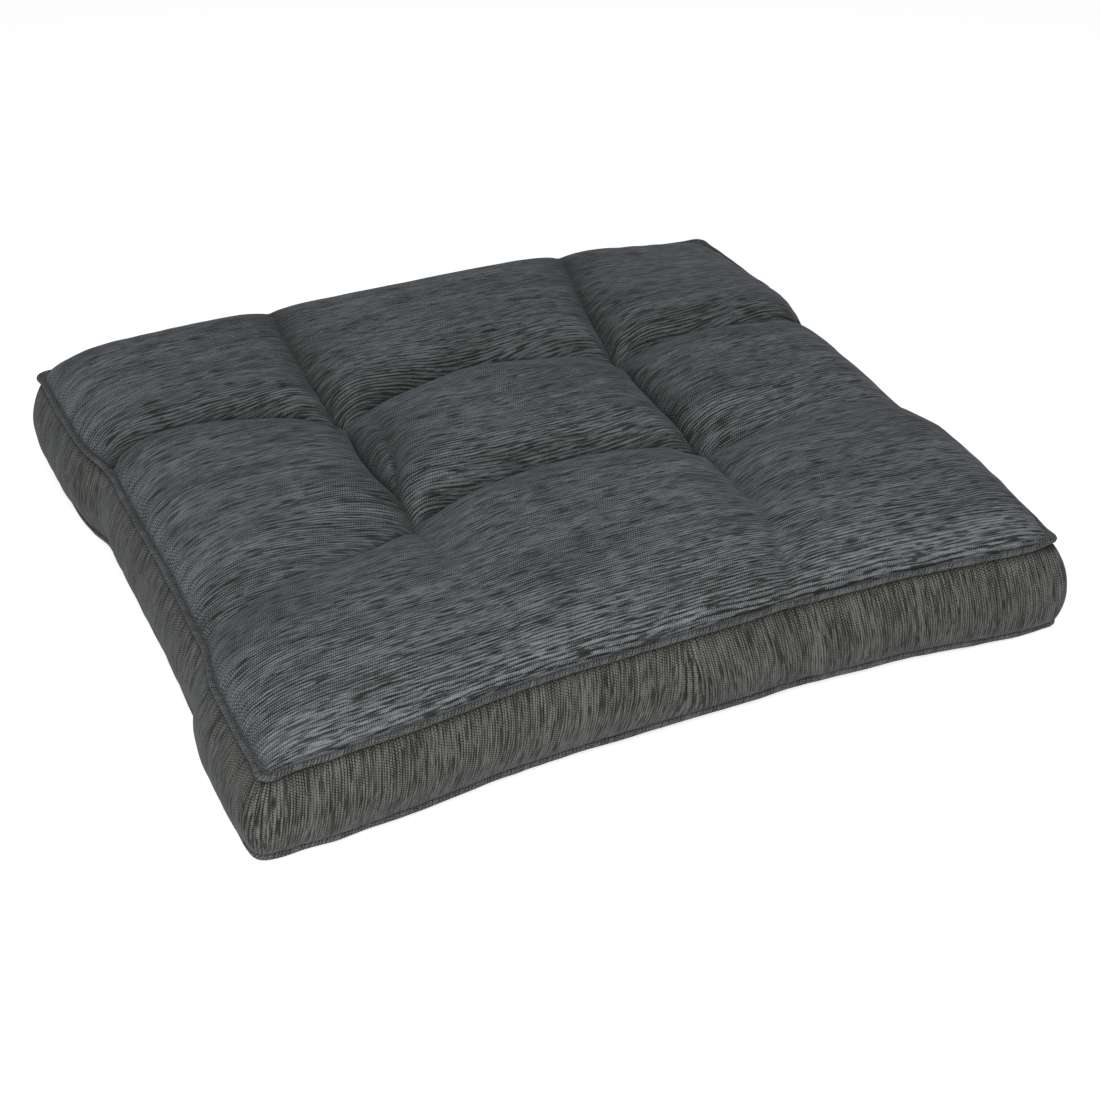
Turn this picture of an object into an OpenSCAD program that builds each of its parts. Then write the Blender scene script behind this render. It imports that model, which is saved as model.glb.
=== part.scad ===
// Boxed floor cushion: crowned top and bottom panels, one boxing band, piping in both seams,
// four tufting ties through the filling.
// Millimetres. The origin is on the floor under the middle of the cushion, +Z up, the front at -Y.

/* [Cushion] */
// Width along the front, corner to corner at the seams
cushion_w = 610; // [450:5:760]
// Depth from front to back, corner to corner at the seams
cushion_d = 560; // [420:5:760]
// How far each side pulls in between its two corners
side_pull = 12; // [0:1:20]
// Radius of the corners in plan
corner_r = 22; // [12:1:60]

/* [Height] */
// Height of the bottom seam above the floor
bottom_seam_z = 12; // [8:1:20]
// Height of the boxing band between its two seams
band_h = 62; // [40:1:100]
// How far the top panel rises above its seam
top_crown = 40; // [20:1:60]
// How far the bottom panel would hang below its seam with no floor under it
under_crown = 22; // [20:1:34]
// How far the band bulges out halfway up
band_bulge = 5; // [0:1:10]

/* [Cover] */
// Thickness of the cover fabric
fabric_t = 1.2; // [0.6:0.1:2]
// Gap left between the cover and what it holds
nest_gap = 0.5; // [0.2:0.1:1]

/* [Piping] */
// Outer diameter of the piping
piping_d = 4.6; // [3:0.2:8]
// Diameter of the filler cord
piping_cord_d = 2.6; // [1.5:0.1:5]
// Width of the piping's flat flange inside the seam
flange_w = 9; // [5:0.5:14]
// Thickness of the flange, two layers of fabric
flange_t = 1.4; // [0.8:0.1:2.4]

/* [Stitching] */
// Diameter of the sewing thread in the long seams
thread_d = 0.8; // [0.4:0.1:1.2]
// Distance of the seam's stitch line inside the seam edge
stitch_inset = 5; // [3:0.5:8]
// Length of one slip stitch at the closed filling gap
slip_stitch_l = 7; // [4:0.5:12]
// Length of the filling gap that the slip stitches close
filling_gap_l = 220; // [120:10:300]

/* [Tufting] */
// Distance between the two tufts of a row, left to right
tuft_pitch_x = 237; // [160:1:300]
// Distance between the two rows, front to back
tuft_pitch_y = 150; // [120:1:280]
// How far a tuft pulls the top panel down from its crown
tuft_depth = 50; // [20:1:58]
// How far a tuft pulls the bottom panel up from its crown
tuft_lift = 34; // [20:1:44]
// Half width of a tuft's dimple
dimple_r = 42; // [25:1:60]
// How far the valleys between the tufts sink, as a share of the tuft's own depth
valley_share = 0.3; // [0:0.05:0.5]
// Half width of a valley
valley_r = 30; // [20:1:45]
// Diameter of the tufting twine
twine_d = 2; // [1:0.1:3]
// Length of the stitch that the twine takes across the fabric
tuft_stitch_l = 9; // [5:0.5:14]
// Diameter of the knot under the cushion
knot_d = 6; // [4:0.5:9]

/* [Hidden] */

top_seam_z = bottom_seam_z + band_h;
core_inset = fabric_t + nest_gap;
// Steps round one corner and along half of one side of the plan
corner_steps = 4;
side_steps = 6;
// Rings from the middle of a panel to its seam, as shares of the way out, closer near the seam
ring_steps = 13;
ring_power = 1.45;
rings = [for (i = [1:ring_steps]) 1 - pow(1 - i / ring_steps, ring_power)];
// How late the rings turn from an ellipse into the seam line
ring_blend = 1.6;
// How close to the seam a panel turns steep
steep_power = 12;
// The crown falls away towards the seam like this power of the share of the way out
crown_power = 7;
crown_sharpness = 0.6;
// Part of the crown that is a gentle dome over the whole panel
dome_share = 0.12;
// Threads and twine keep this gap from fabric
thread_gap = 0.3;
cord_sides = 6;
sleeve_sides = 8;
round_sides = 24;

// ---- Plan outline -------------------------------------------------------------------------------

// How far a side is pulled in at share u (-1 to 1) of the way along it
function side_pull_at(u) = side_pull * (1 - u * u);

// A point of a side, moved inward by inset. half and other are the half sizes along and across it.
function side_point(half, other, u, inset) =
    [u * (half - corner_r), other - inset - side_pull_at(u)];

function corner_point(half, other, a, inset) =
    [half - corner_r + (corner_r - inset) * sin(a), other - corner_r + (corner_r - inset) * cos(a)];

// One full side with the corner that follows it clockwise, before it is turned into place
function side_run(half, other, inset) = concat(
    [for (i = [-side_steps + 1:side_steps]) side_point(half, other, i / side_steps, inset)],
    [for (i = [1:corner_steps]) corner_point(half, other, 90 * i / corner_steps, inset)]
);

function turned(points, quarter) = [for (p = points)
    quarter == 0 ? [p.x, p.y]
    : quarter == 1 ? [p.y, -p.x]
    : quarter == 2 ? [-p.x, -p.y]
    : [-p.y, p.x]
];

// The whole outline, clockwise from above, starting on the back side
function outline(inset) = concat(
    turned(side_run(cushion_w / 2, cushion_d / 2, inset), 0),
    turned(side_run(cushion_d / 2, cushion_w / 2, inset), 1),
    turned(side_run(cushion_w / 2, cushion_d / 2, inset), 2),
    turned(side_run(cushion_d / 2, cushion_w / 2, inset), 3)
);

// ---- Panel surfaces -----------------------------------------------------------------------------

// 1 in the middle of a panel, 0 at its seam, for a share s of the way out
function crown(s) = (1 - dome_share * s * s) * pow(max(0, 1 - pow(s, crown_power)), crown_sharpness);

function bell(distance, width) = exp(-pow(distance / width, 2));

// 1 at a tuft, less in the valleys that join the tufts and run out to the seams, 0 on the mounds
function quilting(p) =
    let (
        along_x = bell(abs(p.x) - tuft_pitch_x / 2, valley_r),
        along_y = bell(abs(p.y) - tuft_pitch_y / 2, valley_r),
        away = norm([abs(p.x) - tuft_pitch_x / 2, abs(p.y) - tuft_pitch_y / 2])
    )
    min(1, valley_share * max(along_x, along_y) + (1 - valley_share) * bell(away, dimple_r));

// Height of the top panel's outside at plan point p, share s of the way out, lowered by inset
function top_z(p, s, inset) = top_seam_z + crown(s) * (top_crown - tuft_depth * quilting(p)) - inset;

// Height of the bottom panel's outside, which the floor flattens, raised by inset
function under_z(p, s, inset) =
    max(0, bottom_seam_z - crown(s) * (under_crown - tuft_lift * quilting(p))) + inset;

// ---- Closed surfaces ----------------------------------------------------------------------------

// Faces between two neighbouring loops of n points whose first points are a and b. Each four-sided
// patch is split along one diagonal, or along the other one if other_way is true.
function strip(a, b, n, other_way = false) = [for (i = [0:n - 1])
    let (j = (i + 1) % n)
    each other_way
        ? [[a + i, a + j, b + i], [a + j, b + j, b + i]]
        : [[a + i, a + j, b + j], [a + i, b + j, b + i]]
];

function fan(centre, a, n) = [for (i = [0:n - 1]) [centre, a + i, a + (i + 1) % n]];

function fan_back(centre, a, n) = [for (i = [0:n - 1]) [centre, a + (i + 1) % n, a + i]];

// The direction of the i-th point of a small ring near the middle, evenly spaced round an ellipse
function even_point(i, n) =
    let (a = 90 - 360 * (i - side_steps + 1) / n) [cushion_w / 2 * cos(a), cushion_d / 2 * sin(a)];

// A ring at share s of the way out: an ellipse near the middle that turns into the line at its edge
function ring_at(line, s) =
    let (n = len(line), b = pow(s, ring_blend))
    [for (i = [0:n - 1]) s * ((1 - b) * even_point(i, n) + b * line[i])];

// Loops of a panel, from its middle out. A surface under another is lowered by inset, and it is drawn
// in sideways too towards the seam, where the panel stands steeply.
function panel_loops(upper, inset) = [for (s = rings)
    let (line = outline(inset * pow(s, steep_power)))
    [for (p = ring_at(line, s)) [p.x, p.y, upper ? top_z(p, s, inset) : under_z(p, s, inset)]]
];

function panel_middle(upper, inset) =
    [0, 0, upper ? top_z([0, 0], 0, inset) : under_z([0, 0], 0, inset)];

// A closed solid from a list of loops with a middle point at each end. The loops run out to the one
// numbered turn and back in after it, and the patches of both halves are split the same way, so that
// a surface and the one nested in it stay apart.
module lofted(first, loops, last, turn) {
    n = len(loops[0]);
    m = len(loops);
    points = concat([first], [for (l = loops) each l], [last]);
    faces = concat(
        fan(0, 1, n),
        [for (k = [0:m - 2]) each strip(1 + (k + 1) * n, 1 + k * n, n, k >= turn)],
        fan_back(1 + m * n, 1 + (m - 1) * n, n)
    );
    polyhedron(points = points, faces = faces, convexity = 8);
}

// A ring-shaped solid swept from closed cross-section loops that follow the seam line
module looped(loops) {
    n = len(loops[0]);
    m = len(loops);
    points = [for (l = loops) each l];
    faces = [for (k = [0:m - 1]) each strip(k * n, ((k + 1) % m) * n, n)];
    polyhedron(points = points, faces = faces, convexity = 8);
}

function reversed(list) = [for (i = [len(list) - 1:-1:0]) list[i]];

// The loop at height z that is drawn in by inset from the seam line
function loop_at(inset, z) = [for (q = outline(inset)) [q.x, q.y, z]];

// ---- Cover --------------------------------------------------------------------------------------

// A panel's fabric: its outside, a narrow edge that butts on the piping's flange, and its inside
module panel(upper) {
    outside = panel_loops(upper, 0);
    inside = panel_loops(upper, fabric_t);
    edge_z = upper ? top_seam_z + flange_t / 2 : bottom_seam_z - flange_t / 2;
    edge = [loop_at(nest_gap / 2, edge_z), loop_at(fabric_t, edge_z)];
    outer_part = [for (k = [0:ring_steps - 2]) outside[k]];
    inner_part = [for (k = [0:ring_steps - 2]) inside[k]];
    loops = concat(outer_part, edge, reversed(inner_part));
    if (upper)
        lofted(panel_middle(true, 0), loops, panel_middle(true, fabric_t), ring_steps);
    else
        lofted(panel_middle(false, fabric_t), reversed(loops), panel_middle(false, 0), ring_steps);
}

// How far the band stands out at share t of its height
function bulge_at(t) = band_bulge * (1 - pow(2 * t - 1, 2));

band_steps = [0, 0.2, 0.5, 0.8, 1];
band_low_z = bottom_seam_z + flange_t / 2;
band_true_h = band_h - flange_t;

function band_loop(t, inset) = loop_at(inset - bulge_at(t), band_low_z + t * band_true_h);

// ---- Piping -------------------------------------------------------------------------------------

// Points round a circle of the given diameter in the plane across the seam: x outward, y up
function ring_section(d, sides) = [for (i = [0:sides - 1])
    let (a = 360 * i / sides) d / 2 * [cos(a), sin(a)]
];

piping_out = piping_d / 2 - fabric_t / 2;

// The sleeve's outside: most of a circle, then the flat flange that the seam catches
sleeve_outside = concat(
    [for (i = [0:sleeve_sides]) let (a = -152 + 304 * i / sleeve_sides) piping_d / 2 * [cos(a), sin(a)]],
    [[-piping_out - flange_w, flange_t / 2], [-piping_out - flange_w, -flange_t / 2]]
);

// A cross-section carried round the seam line at height z, its own origin piping_out outside it
function section_loops(section, z) = [for (c = section) loop_at(-piping_out - c.x, z + c.y)];

module piping_sleeve(z) {
    difference() {
        looped(section_loops(sleeve_outside, z));
        looped(section_loops(ring_section(piping_cord_d + 2 * thread_gap, cord_sides), z));
    }
}

module piping_cord(z) {
    looped(section_loops(ring_section(piping_cord_d, cord_sides), z));
}

// ---- Stitching ----------------------------------------------------------------------------------

// A seam's stitch line, lying on the flange inside the cushion
module seam_thread(z) {
    thread = ring_section(thread_d, 4);
    looped([for (c = thread) loop_at(stitch_inset - c.x, z + c.y)]);
}

// ---- Tufting ------------------------------------------------------------------------------------

tuft_at = [tuft_pitch_x / 2, tuft_pitch_y / 2];

function cross_of(a, b) = a.x * b.y - a.y * b.x;

// Height of the flat face a, b, c over plan point q, or nothing where q lies outside it
function face_heights(a, b, c, q) =
    let (
        ab = [b.x - a.x, b.y - a.y],
        ac = [c.x - a.x, c.y - a.y],
        aq = [q.x - a.x, q.y - a.y],
        area = cross_of(ab, ac),
        s = cross_of(aq, ac) / area,
        t = cross_of(ab, aq) / area
    )
    s >= 0 && t >= 0 && s + t <= 1 ? [a.z + s * (b.z - a.z) + t * (c.z - a.z)] : [];

// Heights of a panel's faceted outside over plan point q, for either way of splitting its patches
function panel_heights(upper, q) =
    let (loops = panel_loops(upper, 0), n = len(loops[0]))
    [for (k = [0:ring_steps - 2], i = [0:n - 1])
        let (j = (i + 1) % n, a = loops[k][i], b = loops[k][j], c = loops[k + 1][j], d = loops[k + 1][i])
        each concat(
            face_heights(a, b, c, q), face_heights(a, c, d, q),
            face_heights(a, b, d, q), face_heights(b, c, d, q)
        )
    ];

// Plan points under one tuft's stitch, from end to end. sx and sy are the tuft's side, -1 or 1.
function stitch_spots(sx, sy) =
    [for (t = [-1, -0.5, 0, 0.5, 1]) [sx * tuft_at.x + t * tuft_stitch_l / 2, sy * tuft_at.y]];

// Highest fabric under a stitch on top, and lowest fabric over a knotted stitch underneath
function tuft_top_z(sx, sy) = max([for (q = stitch_spots(sx, sy)) each panel_heights(true, q)]);

function tuft_under_z(sx, sy) = min([for (q = stitch_spots(sx, sy)) each panel_heights(false, q)]);

// The stitches lie on the fabric with this much between its face and the twine's middle
stitch_lift = twine_d / 2 + thread_gap;

module placed_at_tuft(sx, sy) {
    translate([sx * tuft_at.x, sy * tuft_at.y, 0]) children();
}

// A twine down through the cushion, its stitch over the top and its knotted stitch underneath
module tuft_tie(sx, sy) {
    low = tuft_under_z(sx, sy) - stitch_lift;
    high = tuft_top_z(sx, sy) + stitch_lift;
    color("#4b5054") placed_at_tuft(sx, sy) {
        translate([0, 0, low]) cylinder(d = twine_d, h = high - low, $fn = round_sides);
        for (z = [low, high])
            translate([-tuft_stitch_l / 2, 0, z])
                rotate([0, 90, 0]) cylinder(d = twine_d, h = tuft_stitch_l, $fn = round_sides);
        translate([0, 0, low - (knot_d - twine_d) / 2]) sphere(d = knot_d, $fn = round_sides);
    }
}

// The channels that the twines run in
module twine_channels() {
    for (sx = [-1, 1], sy = [-1, 1])
        placed_at_tuft(sx, sy)
            translate([0, 0, -1])
                cylinder(d = twine_d + 2 * thread_gap, h = top_seam_z + top_crown + 2, $fn = round_sides);
}

// ---- Sub-parts ----------------------------------------------------------------------------------

module top_panel() {
    color("#575c60") difference() {
        panel(true);
        twine_channels();
    }
}

module bottom_panel() {
    color("#4f5458") difference() {
        panel(false);
        twine_channels();
    }
}

module side_band() {
    color("#53564f") looped(concat(
        [for (t = band_steps) band_loop(t, nest_gap / 2)],
        [for (t = reversed(band_steps)) band_loop(t, fabric_t)]
    ));
}

module top_piping_sleeve() {
    color("#5d6266") piping_sleeve(top_seam_z);
}

module bottom_piping_sleeve() {
    color("#5d6266") piping_sleeve(bottom_seam_z);
}

module top_piping_cord() {
    color("#d8d4c8") piping_cord(top_seam_z);
}

module bottom_piping_cord() {
    color("#d8d4c8") piping_cord(bottom_seam_z);
}

module top_seam_thread() {
    color("#3c4043") seam_thread(top_seam_z + flange_t / 2 + thread_d / 2 + thread_gap);
}

module bottom_seam_thread() {
    color("#3c4043") seam_thread(bottom_seam_z + flange_t / 2 + thread_d / 2 + thread_gap);
}

// The upright line of stitches that joins the band's two ends, inside the middle of the back
module band_joint_thread() {
    reach = cushion_d / 2 - side_pull - fabric_t - thread_d - thread_gap;
    color("#3c4043") translate([0, reach, band_low_z + flange_w / 2])
        cylinder(d = thread_d, h = band_true_h - flange_w, $fn = round_sides);
}

// Slip stitches across the bottom seam at the back, a row of short dashes on the band
module closing_stitches() {
    count = floor(filling_gap_l / (2 * slip_stitch_l));
    z = bottom_seam_z + piping_d / 2 + thread_d + 2 * thread_gap;
    color("#3c4043") for (i = [0:count - 1]) {
        x = (i - (count - 1) / 2) * 2 * slip_stitch_l;
        u = x / (cushion_w / 2 - corner_r);
        out = cushion_d / 2 - side_pull_at(u) + bulge_at((z - band_low_z) / band_true_h);
        translate([x - slip_stitch_l / 2, out + thread_d / 2 + thread_gap, z])
            rotate([0, 90, 0]) cylinder(d = thread_d, h = slip_stitch_l, $fn = round_sides);
    }
}

// The filling: it fills the cover, and gives way to the flanges and stitch lines of the two seams
module fibre_fill() {
    seam_inset = flange_w + nest_gap;
    seam_give = flange_t / 2 + thread_d + 2 * thread_gap + nest_gap;
    top_loops = panel_loops(true, core_inset);
    under_loops = panel_loops(false, core_inset);
    last_free = ring_steps - 3;
    waist = [
        loop_at(seam_inset, top_seam_z + seam_give),
        loop_at(seam_inset, top_seam_z - seam_give),
        loop_at(core_inset, top_seam_z - 3 * seam_give),
        loop_at(core_inset - bulge_at(0.5), (top_seam_z + bottom_seam_z) / 2),
        loop_at(core_inset, bottom_seam_z + 3 * seam_give),
        loop_at(seam_inset, bottom_seam_z + seam_give),
        loop_at(seam_inset, bottom_seam_z - seam_give)
    ];
    loops = concat(
        [for (k = [0:last_free]) top_loops[k]], waist, [for (k = [last_free:-1:0]) under_loops[k]]
    );
    color("#e8e6e0") difference() {
        lofted(panel_middle(true, core_inset), loops, panel_middle(false, core_inset), last_free + 4);
        twine_channels();
    }
}

module tuft_tie_front_left() {
    tuft_tie(-1, -1);
}

module tuft_tie_front_right() {
    tuft_tie(1, -1);
}

module tuft_tie_back_left() {
    tuft_tie(-1, 1);
}

module tuft_tie_back_right() {
    tuft_tie(1, 1);
}

top_panel();
bottom_panel();
side_band();
top_piping_sleeve();
top_piping_cord();
bottom_piping_sleeve();
bottom_piping_cord();
top_seam_thread();
bottom_seam_thread();
band_joint_thread();
closing_stitches();
fibre_fill();
tuft_tie_front_left();
tuft_tie_front_right();
tuft_tie_back_left();
tuft_tie_back_right();
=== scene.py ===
"""Boxed and tufted floor cushion in a streaked slub weave: cover, piping, tufts, seams and filling."""
import logging
import math
from dataclasses import dataclass, field
from enum import Enum

import bpy
import numpy as np
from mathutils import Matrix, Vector


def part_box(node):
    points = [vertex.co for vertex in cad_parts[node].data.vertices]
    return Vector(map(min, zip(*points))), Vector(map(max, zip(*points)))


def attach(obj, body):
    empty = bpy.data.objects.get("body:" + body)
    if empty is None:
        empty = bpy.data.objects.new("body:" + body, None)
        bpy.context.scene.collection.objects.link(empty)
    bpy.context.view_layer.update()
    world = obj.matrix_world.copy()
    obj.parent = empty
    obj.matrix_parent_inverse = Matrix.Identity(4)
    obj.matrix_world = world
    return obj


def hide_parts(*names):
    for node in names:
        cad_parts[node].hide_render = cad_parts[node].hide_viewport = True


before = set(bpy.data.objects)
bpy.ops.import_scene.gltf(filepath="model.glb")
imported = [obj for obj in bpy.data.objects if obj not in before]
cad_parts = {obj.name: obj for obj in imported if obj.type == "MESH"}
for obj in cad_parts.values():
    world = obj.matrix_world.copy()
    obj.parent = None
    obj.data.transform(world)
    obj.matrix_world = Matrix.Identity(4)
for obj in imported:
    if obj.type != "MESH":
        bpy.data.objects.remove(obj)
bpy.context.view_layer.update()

LOG = logging.getLogger("floor_cushion")
ROOT = "root"
MM = 0.001


# ---- Small helpers on arrays ---------------------------------------------------------------------


def bell(distance: np.ndarray, width: float, sharpness: float = 2.0) -> np.ndarray:
    """Smooth bump that is 1 at distance 0 and falls to 1/e at the given width.

    Args:
        distance: Distances from the bump's middle.
        width: Distance at which the bump has fallen to 1/e.
        sharpness: Power of the fall: 2 is round on top, 1 comes to a crease.

    Returns:
        exp(-(distance / width) ** sharpness).
    """
    return np.exp(-np.power(np.abs(distance) / width, sharpness))


def unit(vectors: np.ndarray) -> np.ndarray:
    """Return the vectors scaled to length one."""
    return vectors / np.maximum(np.linalg.norm(vectors, axis=-1, keepdims=True), 1e-12)


def smooth_waves(t: np.ndarray, seed: int, count: int, lowest: float, highest: float) -> np.ndarray:
    """Sum of sine waves with seeded phases, for slight unevenness along a line.

    Args:
        t: Positions along the line, 0 to 1 on a closed line.
        seed: Seed of the phases and strengths.
        count: Number of waves.
        lowest: Fewest periods of a wave over t from 0 to 1.
        highest: Most periods of a wave over t from 0 to 1.

    Returns:
        Values of about -1 to 1, the same length as t.
    """
    rng = np.random.default_rng(seed)
    periods = np.round(np.linspace(lowest, highest, count))
    phases = rng.uniform(0, 2 * np.pi, count)
    strengths = rng.uniform(0.4, 1.0, count)
    waves = np.sin(2 * np.pi * np.multiply.outer(t, periods) + phases) * strengths
    return waves.sum(-1) / np.sqrt(count)


def smooth_route(points: np.ndarray, count: int) -> np.ndarray:
    """Carry a Catmull-Rom curve through a few points.

    Args:
        points: Two or more points of the route.
        count: Number of points returned.

    Returns:
        Points along the curve, evenly spaced in its parameter.
    """
    ends = np.concatenate([[2 * points[0] - points[1]], points, [2 * points[-1] - points[-2]]])
    place = np.linspace(0, len(points) - 1, count)
    first = np.minimum(place.astype(int), len(points) - 2)
    t = (place - first)[:, None]
    a, b, c, d = (ends[first + k] for k in range(4))
    return 0.5 * (
        2 * b + (c - a) * t + (2 * a - 5 * b + 4 * c - d) * t**2 + (3 * b - a - 3 * c + d) * t**3
    )


def run_lengths(points: np.ndarray) -> np.ndarray:
    """Length from the first point to each point along a path of straight steps."""
    return np.concatenate([[0], np.cumsum(np.linalg.norm(np.diff(points, axis=0), axis=1))])


def at_lengths(place: np.ndarray, run: np.ndarray, values: np.ndarray) -> np.ndarray:
    """Read vectors, known at the lengths in run, at other lengths in between."""
    return np.stack([np.interp(place, run, values[:, k]) for k in range(3)], -1)


def new_mesh(
    name: str, points: np.ndarray, faces: np.ndarray, uv: np.ndarray | None = None
) -> bpy.types.Mesh:
    """Put points and four-sided faces into a smooth-shaded mesh.

    Args:
        name: Name of the mesh.
        points: Points, one row each.
        faces: Four point numbers a row.
        uv: Corner coordinates in metres, four rows a face, or None.

    Returns:
        The mesh.
    """
    mesh = bpy.data.meshes.new(name)
    mesh.from_pydata(points.tolist(), [], faces.tolist())
    if uv is not None:
        layer = mesh.uv_layers.new(name="cloth")
        layer.data.foreach_set("uv", np.ascontiguousarray(uv, dtype=np.float32).ravel())
    mesh.polygons.foreach_set("use_smooth", np.ones(len(mesh.polygons), dtype=bool))
    mesh.update()
    return mesh


def new_piece(mesh: bpy.types.Mesh, material: bpy.types.Material, slot: str, *nodes: str) -> bpy.types.Object:
    """Make a mesh an object of the cushion that stands for CAD nodes.

    Args:
        mesh: The piece's mesh, already in place.
        material: Its material.
        slot: The record's material slot; not used.
        nodes: The CAD nodes that the piece stands for.

    Returns:
        The object.
    """
    piece = bpy.data.objects.new(mesh.name, mesh)
    bpy.context.scene.collection.objects.link(piece)
    piece.data.materials.append(material)
    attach(piece, ROOT)
    if nodes:
        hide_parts(*nodes)
    LOG.info("%s: %d faces", piece.name, len(mesh.polygons))
    return piece


def sweep(
    name: str, path: np.ndarray, side: np.ndarray, rise: np.ndarray, section: np.ndarray, closed: bool
) -> bpy.types.Mesh:
    """Carry a closed cross-section along a path.

    A point of the surface is path + section x times side + section y times rise.

    Args:
        name: Name of the mesh.
        path: Points of the path.
        side: Unit vectors of the section's x at each path point.
        rise: Unit vectors of the section's y at each path point.
        section: Points round the section, either one set or one set for each path point.
        closed: Whether the path's end joins its start. An open path gets closed ends.

    Returns:
        The mesh, with the length along the path and round the section as its cloth coordinates.
    """
    count = len(path)
    shape = np.broadcast_to(section, (count,) + section.shape[-2:])
    rings = path[:, None] + shape[..., :1] * side[:, None] + shape[..., 1:] * rise[:, None]
    sides = shape.shape[1]
    along = run_lengths(path)
    girth = run_lengths(shape[0])
    girth = np.append(girth, girth[-1] + np.linalg.norm(shape[0, 0] - shape[0, -1]))
    last = count if closed else count - 1
    i, j = (g.ravel() for g in np.meshgrid(np.arange(last), np.arange(sides), indexing="ij"))
    k, m = (i + 1) % count, (j + 1) % sides
    faces = np.stack([i * sides + j, i * sides + m, k * sides + m, k * sides + j], -1)
    ends = np.append(along, along[-1] + np.linalg.norm(path[0] - path[-1]))
    u = np.stack([ends[i], ends[i], ends[i + 1], ends[i + 1]], -1)
    v = np.stack([girth[j], girth[j + 1], girth[j + 1], girth[j]], -1)
    points = rings.reshape(-1, 3)
    uv = np.stack([u, v], -1)
    if not closed:
        points, faces, uv = with_end_caps(points, faces, uv, sides)
    return new_mesh(name, points, faces, uv.reshape(-1, 2))


def with_end_caps(
    points: np.ndarray, faces: np.ndarray, uv: np.ndarray, sides: int
) -> tuple[np.ndarray, np.ndarray, np.ndarray]:
    """Close both ends of an open tube with a ladder of four-sided faces across the end ring.

    Args:
        points: Points of the tube, ring after ring.
        faces: Its faces.
        uv: Its corner coordinates.
        sides: Points in a ring, an even number.

    Returns:
        The same three with the caps added.
    """
    rungs = np.arange(sides // 2 - 1)
    first = np.stack([rungs, rungs + 1, sides - 2 - rungs, sides - 1 - rungs], -1)[:, ::-1]
    final = first[:, ::-1] + len(points) - sides
    caps = np.concatenate([first, final])
    return points, np.concatenate([faces, caps]), np.concatenate([uv, np.zeros((len(caps), 4, 2))])


def circle(diameter: float, sides: int) -> np.ndarray:
    """Return the points of a circle, clockwise when seen against the direction of travel."""
    turn = -2 * np.pi * np.arange(sides) / sides
    return diameter / 2 * np.stack([np.cos(turn), np.sin(turn)], -1)


def path_frame(path: np.ndarray, towards: np.ndarray, closed: bool) -> tuple[np.ndarray, np.ndarray]:
    """Work out the two directions across a path at each of its points.

    Args:
        path: Points of the path.
        towards: A direction for each point, or one for all, that the first answer keeps close to.
        closed: Whether the path's end joins its start.

    Returns:
        Unit vectors across the path towards the given direction, and at right angles to both.
    """
    if closed:
        travel = np.roll(path, -1, 0) - np.roll(path, 1, 0)
    else:
        travel = np.gradient(path, axis=0)
    travel = unit(travel)
    wanted = np.broadcast_to(towards, path.shape)
    side = unit(wanted - (wanted * travel).sum(-1, keepdims=True) * travel)
    return side, np.cross(side, travel)


# ---- Finishes ------------------------------------------------------------------------------------


class Thread(Enum):
    """Which way the streaks of a woven piece run in its cloth coordinates."""

    ALONG_U = "along_u"
    ALONG_V = "along_v"


def group_input(group: bpy.types.NodeTree, name: str, kind: str, value: object) -> None:
    """Add a named input with a starting value to a node group."""
    socket = group.interface.new_socket(name=name, in_out="INPUT", socket_type=kind)
    if value is not None:
        socket.default_value = value


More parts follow.
